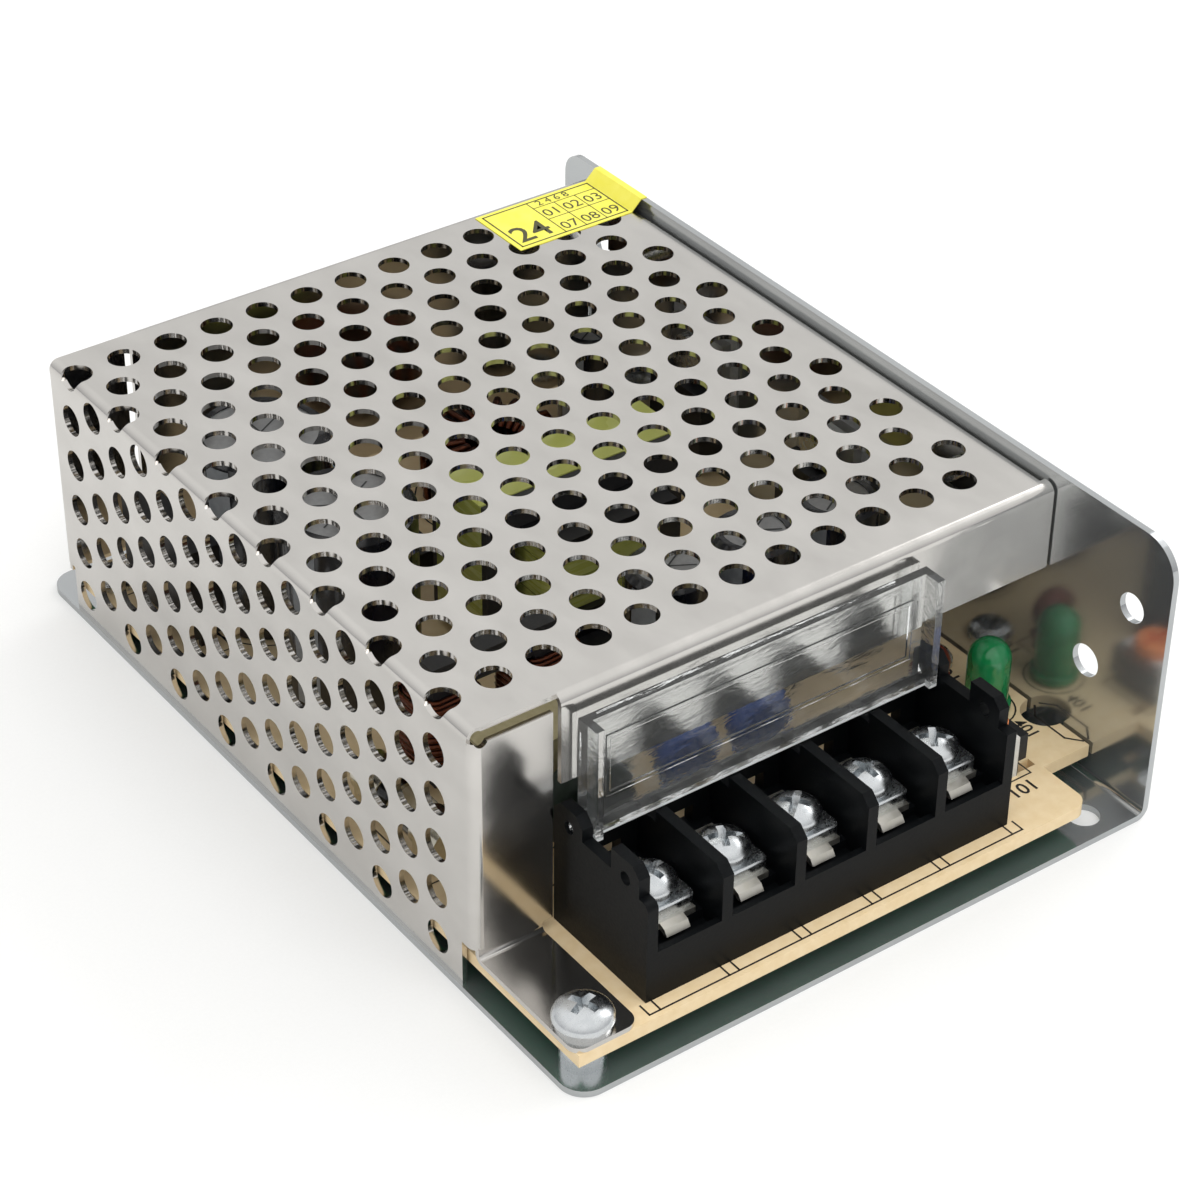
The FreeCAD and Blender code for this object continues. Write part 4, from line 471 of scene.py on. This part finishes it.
def pan_head(name, radius, height, shank, length, span, width, finish, slot=0.0, rim=0.4):
    """A pan-head screw with its seat at the origin, its cross recess and a driver slot cut in."""
    steps = 12
    taper, lead_in, chamfer, slot_depth = 0.3, 0.5, 0.25, 0.55
    dome = [(radius * math.cos(a), height * (rim + (1 - rim) * math.sin(a)))
            for a in (math.pi / 2 * i / steps for i in range(steps + 1))]
    dome[-1] = (0, height)
    screw = joined(name, [turned([(0, -length), (shank - taper, -length), (shank, -length + lead_in),
                                  (shank, 0), (radius - chamfer, 0), (radius, 0.2)] + dome, 64)], finish)
    if slot:
        carve(screw, joined("slot", [slab(3 * radius, slot, height - slot_depth, height + 1)], finish))
    for quarter in (0, 1):
        bar = joined("recess", [wedge(span, width, height * 0.55, height)], finish)
        bar.data.transform(Matrix.Rotation(quarter * math.pi / 2, 4, "Z"))
        carve(screw, bar)
    return smooth(screw, 28)


zinc, tree, shader = material("bright zinc plate", {"Metallic": 1.0})
surface(tree, shader, ("#D6DADD", "#E4E7E9"), 0.7 * mm, (0.2, 0.34), bump=0.08)
dress(zinc, "board_screws", "board_standoffs", "device_screws", "foot_washer",
      *["clamp_plate_%d" % number for number in range(1, 6)])
clamp_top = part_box("clamp_plate_1")[1].z / mm
first_ridge, ridge_pitch, ridge_height, ridge_width, longest_ridge = 2.55, 0.38, 0.22, 0.3, 6.4
head_turns = (18, -24, 40, 8, -35)
for number, (screw_spot, turn) in enumerate(zip(screw_spots, head_turns), 1):
    screw = pan_head("pan_screw_%d" % number, radius=3.0, height=2.6, shank=1.7, length=5.4, span=3.7,
                     width=0.85, finish=zinc, slot=0.7)
    screw.data.transform(Matrix.Translation(Vector((screw_spot.x, screw_spot.y, clamp_top)) * mm)
                         @ Matrix.Rotation(math.radians(turn), 4, "Z"))
    belongs(screw, "screw_%d" % number, "bright_steel", "terminal_screw_%d" % number)
    ridges = []
    for side in (-1, 1):
        for step in range(3):
            y = screw_spot.y + side * (first_ridge + ridge_pitch * step)
            ridge = slab(longest_ridge - 0.5 * step, ridge_width, clamp_top - 0.05, clamp_top + ridge_height,
                         screw_spot.x, y)
            for corner in ridge.verts:
                if corner.co.z > (clamp_top + 0.1) * mm:
                    corner.co.y = y * mm + (corner.co.y - y * mm) * 0.3
            ridges.append(ridge)
    belongs(joined("clamp_ridges_%d" % number, ridges, zinc), "clamp_%d" % number, "bright_steel")
foot_spot = spot("foot_screw")
foot_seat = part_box("foot_washer")[1].z / mm
foot = pan_head("foot_pan_screw", radius=3.3, height=2.1, shank=1.15, length=5.3, span=3.8, width=0.85,
                finish=zinc, rim=0.16)
foot.data.transform(Matrix.Translation(Vector((foot_spot.x, foot_spot.y, foot_seat)) * mm)
                    @ Matrix.Rotation(math.radians(20), 4, "Z"))
belongs(foot, "case", "bright_steel", "foot_screw")

cover_low, cover_high = (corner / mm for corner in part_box("cover_screws"))
cover_head_radius, cover_sink, cover_shank = 2.0, 0.8, 1.25
cover_length = cover_high.x - cover_low.x
cover_heads = []
for y in (round(cover_low.y + cover_head_radius, 1), round(cover_high.y - cover_head_radius, 1)):
    head = joined("cover_head", [turned([(0, -cover_length), (cover_shank, -cover_length),
                                         (cover_shank, -cover_sink), (cover_head_radius, 0), (0, 0)])], zinc)
    for quarter in (0, 1):
        bar = joined("recess", [wedge(length=2.6, width=0.6, depth=0.9, top=0.0)], zinc)
        bar.data.transform(Matrix.Rotation(quarter * math.pi / 2, 4, "Z"))
        carve(head, bar)
    head.data.transform(Matrix.Translation(Vector((cover_high.x, y, cover_low.z + cover_head_radius)) * mm)
                        @ Matrix.Rotation(math.pi / 2, 4, "Y"))
    shape = bmesh.new()
    shape.from_mesh(head.data)
    cover_heads.append(shape)
    bpy.data.objects.remove(head)
belongs(smooth(joined("cover_countersunk_screws", cover_heads, zinc), 28), "case", "bright_steel",
        "cover_screws")

# Terminal cover: injection-moulded clear polycarbonate, snapped into the block's rear ears.
# Thin, glossy and a little wavy; its lowest front edge is painted near opaque white, a painted highlight for
# the light trapped in the plate.

clear_pc, tree, shader = material("clear polycarbonate", {"Base Color": linear("#F4F6F6"), "IOR": 1.5})
where = add(tree, "TexCoord").outputs["Object"]
melt = add(tree, "Mapping", {"Vector": where, "Scale": (0.5, 1, 1.6)})
flow = add(tree, "TexNoise", {"Vector": melt.outputs["Vector"], "Scale": 1 / (2.4 * mm), "Detail": 3.0,
                              "Distortion": 1.5})
haze = add(tree, "MapRange", {"Value": flow.outputs["Fac"], "From Min": 0.4, "From Max": 0.72,
                              "To Min": 0.015, "To Max": 0.08})
tree.links.new(haze.outputs["Result"], shader.inputs["Roughness"])
place = add(tree, "SeparateXYZ", {"Vector": where})
# Painted highlight: the lowest 0.35 mm of the plate's front 1.25 mm loses its clearness and shows near white.
flap_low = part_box("terminal_cover")[0]
edge_height, edge_depth = 0.35 * mm, 1.25 * mm
low_edge = add(tree, "Math", {0: place.outputs["Z"], 1: flap_low.z + edge_height}, operation="LESS_THAN")
front_edge = add(tree, "Math", {0: place.outputs["Y"], 1: flap_low.y + edge_depth}, operation="LESS_THAN")
painted_edge_highlight = add(tree, "Math", {0: low_edge.outputs["Value"], 1: front_edge.outputs["Value"]},
               operation="MULTIPLY")
clear = add(tree, "MapRange", {"Value": painted_edge_highlight.outputs["Value"], "To Min": 0.97, "To Max": 0.1})
tree.links.new(clear.outputs["Result"], shader.inputs["Transmission Weight"])
ripple = add(tree, "Bump", {"Height": flow.outputs["Fac"], "Strength": 0.4, "Distance": 0.1 * mm})
tree.links.new(ripple.outputs["Normal"], shader.inputs["Normal"])
dress(clear_pc, "terminal_cover")

# Power lamp: green-dyed epoxy cast round a lead frame, 5 mm across.
# The dye makes the lens a deep green that brightens where light gathers in the dome.

green_epoxy, tree, shader = material("green epoxy lens", {
    "IOR": 1.52, "Transmission Weight": 0.45, "Coat Weight": 0.5})
surface(tree, shader, ("#1F9A55", "#35B673"), 1.5 * mm, (0.05, 0.12))
lens_radius, flange_radius, flange_height = 2.5, 2.9, 1.0
steps = 14
lens_low, lens_high = (corner.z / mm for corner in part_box("power_led"))
straight = lens_high - lens_low - lens_radius
dome = [(lens_radius * math.cos(a), straight + lens_radius * math.sin(a))
        for a in (math.pi / 2 * i / steps for i in range(steps))]
flange = [(0, 0), (flange_radius - 0.1, 0), (flange_radius, 0.1), (flange_radius, flange_height - 0.1),
          (flange_radius - 0.1, flange_height), (lens_radius, flange_height)]
lens_shape = turned(flange + dome + [(0, lens_high - lens_low)], 56, (lamp_spot.x, lamp_spot.y, lens_low))
belongs(smooth(joined("lamp_lens", [lens_shape], green_epoxy)), "case", "green_lens", "power_led")
frame_pieces = [slab(0.5, 0.5, lens_low + 0.2, lens_low + 4.6, lamp_spot.x - 0.9, lamp_spot.y),
                slab(0.9, 0.5, lens_low + 0.2, lens_low + 4.2, lamp_spot.x + 0.8, lamp_spot.y),
                turned([(0, 4.2), (0.7, 4.2), (1.0, 5.0), (0.8, 5.0), (0, 4.5)], 24,
                       (lamp_spot.x + 0.7, lamp_spot.y, lens_low))]
belongs(joined("lamp_lead_frame", frame_pieces, tinned_brass), "case", "tinned_wire")

# Output trimmer: a pale moulded base with a black contact side and a slotted orange rotor.
# Base and rotor are glass-filled nylon with a matt moulded skin.

pale_nylon, tree, shader = material("pale moulded nylon", {"IOR": 1.53})
ramp = surface(tree, shader, ("#D9DAD6", "#E6E6E2"), 0.5 * mm, (0.45, 0.6), bump=0.2)
across = add(tree, "SeparateXYZ", {"Vector": add(tree, "TexCoord").outputs["Object"]}).outputs["X"]
trimmer_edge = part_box("trimmer_body")[1].x / mm
dark_side = add(tree, "Math", {0: across, 1: (trimmer_edge - 1.2) * mm}, operation="GREATER_THAN")
two_tone = add(tree, "MixRGB", {"Fac": dark_side.outputs["Value"], "Color1": ramp.outputs["Color"],
                                "Color2": linear("#17181A")})
tree.links.new(two_tone.outputs["Color"], shader.inputs["Base Color"])
dress(pale_nylon, "trimmer_body")
soften("trimmer_body", 0.12)
orange_nylon, tree, shader = material("orange moulded nylon", {"IOR": 1.53})
surface(tree, shader, ("#F0833F", "#FA9C5C"), 0.5 * mm, (0.42, 0.55), bump=0.3)
dress(orange_nylon, "trimmer_rotor")

# Seal label: yellow coated paper that bridges the cover and the chassis wall.
# Its table is printed so thinly in black that the yellow tints it, with plain numbers of its own.

label_paper, tree, shader = material("yellow coated paper", {"IOR": 1.45})
surface(tree, shader, ("#F5EC52", "#FBF36C"), 2.0 * mm, (0.38, 0.5), bump=0.1)
dress(label_paper, "seal_label")
label_ink, tree, shader = material("faded label ink", {"IOR": 1.5})
surface(tree, shader, ("#45442A", "#545232"), 0.3 * mm, (0.5, 0.6))
label_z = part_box("seal_label")[0].z / mm + 0.12
frame_line, split_line, thin_line = 0.2, 0.13, 0.12
table_left, table_right, table_foot, table_head = 20.7, 36.5, 39.4, 48.0
months_left, month_step = 27.2, 3.1
month_rows = (43.2, 46.4)
table = [inked([(table_left, table_foot), (table_right, table_foot), (table_right, table_head),
                (table_left, table_head)], frame_line, label_z, True),
         inked([(months_left, table_foot), (months_left, table_head)], split_line, label_z)]
table += [inked([(months_left, y), (table_right, y)], thin_line, label_z) for y in month_rows]
table += [inked([(x, table_foot), (x, month_rows[1])], thin_line, label_z)
          for x in (months_left + month_step, months_left + 2 * month_step)]
table += [numeral("24", table_left + 0.4, table_foot + 0.8, label_z, 5.2, weight=0.04),
          numeral("2 4 6 8", months_left + 1.0, month_rows[1] + 0.3, label_z, 1.7, weight=0.0)]
for column, pair in enumerate((("01", "07"), ("02", "08"), ("03", "09"))):
    for text, foot_line in zip(pair, (month_rows[0], table_foot)):
        table.append(numeral(text, months_left + 0.3 + month_step * column, foot_line + 0.6, label_z, 2.5,
                             weight=0.0))
belongs(joined("label_print", table, label_ink), "case", "yellow_paper")

# Transformer: ferrite legs in a black phenolic bobbin, wound and closed with yellow polyester tape.
# The tape's overlapping turns show as fine lines, drawn as dark strips of painted shade; the ferrite is
# sintered and matt.

ferrite, tree, shader = material("sintered ferrite", {"IOR": 1.8})
surface(tree, shader, ("#222224", "#2E2E30"), 0.25 * mm, (0.5, 0.7), bump=0.5)
dress(ferrite, "transformer_core", "filter_choke_core", "output_choke_core")
yellow_tape, tree, shader = material("yellow polyester tape", {"IOR": 1.6, "Coat Weight": 0.3})
surface(tree, shader, ("#D2D86A", "#E0E58A"), 6 * mm, (0.22, 0.34), stretch=(0.4, 0.4, 6.0), bump=0.6)
dress(yellow_tape, "transformer_tape", "transformer_winding")
phenolic, tree, shader = material("black phenolic", {"IOR": 1.6})
surface(tree, shader, ("#121214", "#1B1B1E"), 0.4 * mm, (0.38, 0.5), bump=0.3)
dress(phenolic, "transformer_bobbin", "bridge_rectifier")
# Painted shade: darker olive strips at three heights round the winding stand for the shade at each tape
# turn's edge.
tape_edges = []
wind_low, wind_high = (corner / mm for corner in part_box("transformer_winding"))
tape_thickness, tape_step = 0.05, 2.6
for step in range(3):
    z = wind_low.z + 1.6 + tape_step * step
    for y in (wind_low.y - 0.03, wind_high.y + 0.03):
        tape_edges.append(slab(wind_high.x - wind_low.x - 4.0, tape_thickness, z, z + 0.12,
                               (wind_low.x + wind_high.x) / 2, y))
    for x in (wind_low.x - 0.03, wind_high.x + 0.03):
        tape_edges.append(slab(tape_thickness, wind_high.y - wind_low.y - 4.0, z, z + 0.12, x,
                               (wind_low.y + wind_high.y) / 2))
tape_shade, tree, shader = material("painted tape edge shade", {"IOR": 1.5})
surface(tree, shader, ("#8E9440", "#9CA24C"), 1 * mm, (0.4, 0.5))
belongs(joined("tape_edges", tape_edges, tape_shade), "case", "yellow_tape")

# Electrolytic capacitors: deep-drawn aluminium cans in shrunk sleeves with a printed stripe.
# The bare tops are satin and scored for venting, the scores drawn as dark strips of painted shade; the
# sleeves are glossy and drawn tight over the rims.

can_metal, tree, shader = material("drawn aluminium", {"Metallic": 1.0})
surface(tree, shader, ("#B4B5B7", "#C4C5C6"), 0.5 * mm, (0.34, 0.46), bump=0.3)
dress(can_metal, "input_capacitors", "output_capacitors", "bias_can")
sleeve_film, tree, shader = material("shrunk PET sleeve", {"IOR": 1.58, "Coat Weight": 0.4})
surface(tree, shader, ("#0F1116", "#181A21"), 2.5 * mm, (0.2, 0.32), stretch=(1, 1, 0.4), bump=0.3)
dress(sleeve_film, "input_sleeves", "output_sleeves", "bias_sleeve")
stripe_ink, tree, shader = material("grey sleeve print", {"IOR": 1.5})
surface(tree, shader, ("#8F9398", "#A0A4A8"), 1 * mm, (0.3, 0.42))


def stripe(x, y, radius, low, high, heading, spread):
    """A printed upright band on a round sleeve."""
    shape = bmesh.new()
    steps = 6
    rows = [[shape.verts.new(Vector((x + radius * math.cos(heading + spread * (i / steps - 0.5)),
                                     y + radius * math.sin(heading + spread * (i / steps - 0.5)), z)) * mm)
             for i in range(steps + 1)] for z in (low, high)]
    for i in range(steps):
        shape.faces.new([rows[0][i], rows[0][i + 1], rows[1][i + 1], rows[1][i]])
    return shape


stripes = []
scores = []
heading = math.radians(200)
stripe_width, score_width, score_reach = 3.2, 0.22, 0.62
for sleeves, spots in (("input_sleeves", bulk_spots), ("output_sleeves", output_spots),
                       ("bias_sleeve", [(bias_spot.x, bias_spot.y)])):
    low, high = (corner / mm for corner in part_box(sleeves))
    radius = round(min(high.x - low.x, high.y - low.y) / 2, 1)
    top = high.z
    for x, y in spots:
        stripes.append(stripe(x, y, radius + 0.02, board_top + 1.0, top - 0.9, heading,
                              stripe_width / radius))
        for turn in (30, 90, 150):
            angle = math.radians(turn)
            dx, dy = (radius * score_reach * part for part in (math.cos(angle), math.sin(angle)))
            scores.append(inked([(x - dx, y - dy), (x + dx, y + dy)], score_width, top - 0.12))
belongs(joined("sleeve_stripes", stripes, stripe_ink), "case", "black_sleeve")
# Painted shade: dark metal strips laid flat on the can tops stand in for the shade inside the pressed vent
# scores.
score_shade, tree, shader = material("painted vent score shade", {"Metallic": 1.0})
surface(tree, shader, ("#5E5F61", "#6B6C6E"), 0.4 * mm, (0.4, 0.5))
belongs(joined("painted_vent_score_shade", scores, score_shade), "case", "can_aluminium")

# Dipped parts: two blue safety capacitors, a dark green thermistor and a brown capacitor.
# Each ceramic disc is dipped in epoxy or silicone, which draws into a soft uneven edge round its leads.


def dipped(name, node, finish, slot, radius, count=1):
    """Cushion-shaped discs on edge, side by side in the box of their CAD node."""
    low, high = (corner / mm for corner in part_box(node))
    y = (low.y + high.y) / 2
    z = round(high.z - radius, 2)
    half = (high.y - low.y) / 2
    steps = 12
    shapes = []
    for number in range(count):
        x = round(low.x + radius + number * (high.x - low.x - 2 * radius) / max(count - 1, 1), 2)
        rim = [(radius - half * 0.8 * (1 - math.cos(a)), half * math.sin(a))
               for a in (math.pi * (i / steps - 0.5) for i in range(steps + 1))]
        disc = turned([(0, -half)] + rim + [(0, half)], 48)
        disc.transform(Matrix.Translation(Vector((x, y, z)) * mm) @ Matrix.Rotation(math.pi / 2, 4, "X"))
        shapes.append(disc)
        for side in (-1, 1):
            root = z - radius * 0.8
            shapes.append(turned([(0, board_top - z), (0.3, board_top - z), (0.3, root - z - 0.9),
                                  (0.75, root - z + 0.2), (0, root - z + 0.3)], 16,
                                 (x + side * lead_pitch, y, z)))
    belongs(smooth(joined(name, shapes, finish), 60), "case", slot, node)


blue_dip, tree, shader = material("blue epoxy dip", {"IOR": 1.55, "Coat Weight": 0.4})
surface(tree, shader, ("#1B4AA4", "#245DC0"), 0.7 * mm, (0.22, 0.34), bump=0.5)
dipped("blue_safety_discs", "safety_capacitors", blue_dip, "blue_dip", radius=4.1, count=2)
green_dip, tree, shader = material("dark green silicone coat", {"IOR": 1.45})
surface(tree, shader, ("#1C271F", "#263329"), 0.6 * mm, (0.45, 0.6), bump=0.5)
dipped("thermistor_disc", "inrush_thermistor", green_dip, "dark_dip", radius=5.6)
brown_dip, tree, shader = material("brown epoxy dip", {"IOR": 1.55, "Coat Weight": 0.3})
surface(tree, shader, ("#6A2414", "#7E321E"), 0.7 * mm, (0.28, 0.4), bump=0.5)
dipped("brown_disc", "brown_capacitor", brown_dip, "brown_dip", radius=2.87)

# Film capacitor and fuse: a moulded polyester box, and a glass tube between nickel-plated caps.
# The box is satin; the fuse shows its thin element through the drawn glass.

film_case, tree, shader = material("film capacitor case", {"IOR": 1.53})
surface(tree, shader, ("#BDB287", "#CABF96"), 0.6 * mm, (0.4, 0.52), bump=0.2)
dress(film_case, "film_capacitor")
fuse_glass, tree, shader = material("fuse glass", {
    "Base Color": linear("#F4F8F8"), "IOR": 1.5, "Transmission Weight": 1.0})
draw_marks = add(tree, "TexNoise", {"Vector": add(tree, "TexCoord").outputs["Object"], "Scale": 1 / (2 * mm)})
clarity = add(tree, "MapRange", {"Value": draw_marks.outputs["Fac"], "To Min": 0.0, "To Max": 0.08})
tree.links.new(clarity.outputs["Result"], shader.inputs["Roughness"])
dress(fuse_glass, "fuse_tube")
nickel, tree, shader = material("nickel plate", {"Metallic": 1.0})
surface(tree, shader, ("#CFCAB9", "#DEDACC"), 0.7 * mm, (0.16, 0.28), bump=0.2)
dress(nickel, "fuse_caps")

# Line filter choke and output choke: enamelled copper wound on ferrite, then varnished dark.
# Every turn lies beside the last; the varnish dulls the copper to a red brown.


def swept(points, radius, sides=8, closed=False):
    """A round wire along points in millimetres."""
    shape = bmesh.new()
    count = len(points)
    rings = []
    for i, point in enumerate(points):
        before = points[i - 1] if i or closed else points[0]
        after = points[(i + 1) % count] if i < count - 1 or closed else points[-1]
        ahead = (after - before).normalized()
        side = ahead.cross(Vector((0, 0, 1)))
        side = side.normalized() if side.length > 0.2 else ahead.cross(Vector((1, 0, 0))).normalized()
        up = side.cross(ahead)
        rings.append([shape.verts.new((point + (side * math.cos(a) + up * math.sin(a)) * radius) * mm)
                      for a in (2 * math.pi * k / sides for k in range(sides))])
    for i in range(count if closed else count - 1):
        low, high = rings[i], rings[(i + 1) % count]
        for k in range(sides):
            shape.faces.new([low[k], low[(k + 1) % sides], high[(k + 1) % sides], high[k]])
    if not closed:
        shape.faces.new(rings[0][::-1])
        shape.faces.new(rings[-1])
    return shape


copper, tree, shader = material("varnished enamelled copper", {"Metallic": 1.0, "Coat Weight": 0.5})
surface(tree, shader, ("#5E2E19", "#743C22"), 0.6 * mm, (0.26, 0.38), bump=0.2)
coil_low, coil_high = (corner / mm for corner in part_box("filter_choke_windings"))
leg_side, winding_build = 3.6, 2.4
coil_side = leg_side + 2 * winding_build
wire_half = 0.42
layers, steps = 3, 24
coils = []
for x in (coil_low.x + coil_side / 2, coil_high.x - coil_side / 2):
    y = (coil_low.y + coil_high.y) / 2
    for layer in range(layers):
        half = coil_side / 2 - wire_half - layer * 2 * wire_half * 0.9
        turns = int((coil_high.z - coil_low.z) / (2 * wire_half)) - 1
        points = []
        for i in range(turns * steps + 1):
            a = 2 * math.pi * i / steps
            square = 1 / max(abs(math.cos(a)), abs(math.sin(a)))
            reach = half * min(square, 1.22)
            points.append(Vector((x + reach * math.cos(a), y + reach * math.sin(a),
                                  coil_low.z + wire_half + i / steps * 2 * wire_half * 1.04)))
        coils.append(swept(points, wire_half, 6))
belongs(smooth(joined("choke_coils", coils, copper), 70), "case", "copper_wire", "filter_choke_windings")

ring_low, ring_high = (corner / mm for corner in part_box("output_choke_core"))
ring_points = []
ring_turns, steps = 22, 20
ring_middle = (ring_low.z + ring_high.z) / 2
ring_reach, ring_build, ring_half_height, ring_wire = 6.1, 2.45, 4.05, 0.5
squareness = 1.35
for i in range(ring_turns * steps):
    around = 2 * math.pi * i / (ring_turns * steps)
    a = 2 * math.pi * i / steps
    out = max(-1, min(1, squareness * math.cos(a)))
    rise = max(-1, min(1, squareness * math.sin(a)))
    reach = ring_reach + ring_build * out
    ring_points.append(Vector((ring_spot.x + reach * math.cos(around), ring_spot.y + reach * math.sin(around),
                               ring_middle + ring_half_height * rise)))
ring_coil = joined("ring_coil", [swept(ring_points, ring_wire, 8, True)], copper)
belongs(smooth(ring_coil, 70), "case", "copper_wire", "output_choke_winding")

# Power devices and small packages: black moulding compound over tinned copper frames.
# The tabs and legs keep the bright tin; the mouldings are finely matt.


def packaged(name, low, high):
    """Moulding compound between two heights in millimetres, with bright tin below and above it."""
    made, tree, shader = material(name, {"IOR": 1.55})
    ramp = surface(tree, shader, ("#131315", "#1C1C1F"), 0.3 * mm, (0.42, 0.55), bump=0.3)
    level = add(tree, "SeparateXYZ", {"Vector": add(tree, "TexCoord").outputs["Object"]}).outputs["Z"]
    above = add(tree, "Math", {0: level, 1: high * mm}, operation="GREATER_THAN")
    below = add(tree, "Math", {0: level, 1: low * mm}, operation="LESS_THAN")
    metal = add(tree, "Math", {0: above.outputs["Value"], 1: below.outputs["Value"]}, operation="MAXIMUM")
    mixed = add(tree, "MixRGB", {"Fac": metal.outputs["Value"], "Color1": ramp.outputs["Color"],
                                 "Color2": linear("#C8C8C6")})
    tree.links.new(mixed.outputs["Color"], shader.inputs["Base Color"])
    tree.links.new(metal.outputs["Value"], shader.inputs["Metallic"])
    return made


dress(packaged("tabbed device moulding", board_top + 4.0, board_top + 13.2), "output_rectifier",
      "switching_transistor")
dress(packaged("two-row package moulding", board_top + 0.6, board_top + 9.0), "controller_chip",
      "optocoupler")
silicone, tree, shader = material("grey silicone pad", {"IOR": 1.42})
surface(tree, shader, ("#A9AAAC", "#B7B8BA"), 0.5 * mm, (0.6, 0.75), bump=0.3)
dress(silicone, "insulating_pads")

# Power resistors: a film on a ceramic rod under a blue grey coat, with painted bands.
# The insulating film below the board is milky polyester sheet.

resistor_coat, tree, shader = material("blue grey resistor coat", {"IOR": 1.5})
surface(tree, shader, ("#8FA9B8", "#A2BAC7"), 0.6 * mm, (0.4, 0.52), bump=0.3)
dress(resistor_coat, "power_resistors")
resistor_low, resistor_high = (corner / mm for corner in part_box("power_resistors"))
band_z = board_top + 2.6
rod_radius, rod_pitch = 1.7, 4.6
for paint, tone, offset in (("red", "#B03A2A", -2.9), ("dark brown", "#3A2A22", -1.5),
                            ("ochre", "#C98A22", -0.1), ("dull gold", "#B49A4A", 2.6)):
    band_paint, tree, shader = material(paint + " band paint", {"IOR": 1.5})
    surface(tree, shader, (tone, tone), 1 * mm, (0.4, 0.5))
    bands = []
    for rod in range(3):
        band = turned([(rod_radius + 0.02, -0.35), (rod_radius + 0.04, -0.3), (rod_radius + 0.04, 0.3),
                       (rod_radius + 0.02, 0.35)], 40)
        band.transform(Matrix.Translation(Vector(((resistor_low.x + resistor_high.x) / 2 + offset,
                                                  resistor_high.y - rod_radius - rod_pitch * rod,
                                                  band_z)) * mm)
                       @ Matrix.Rotation(math.pi / 2, 4, "Y"))
        bands.append(band)
    belongs(smooth(joined("resistor_bands_" + tone[1:].lower(), bands, band_paint)), "case", "resistor_coat")
mill_film, tree, shader = material("milky polyester film", {"IOR": 1.6})
surface(tree, shader, ("#B9BBBA", "#C6C8C7"), 3 * mm, (0.3, 0.42), bump=0.2)
dress(mill_film, "insulating_film")
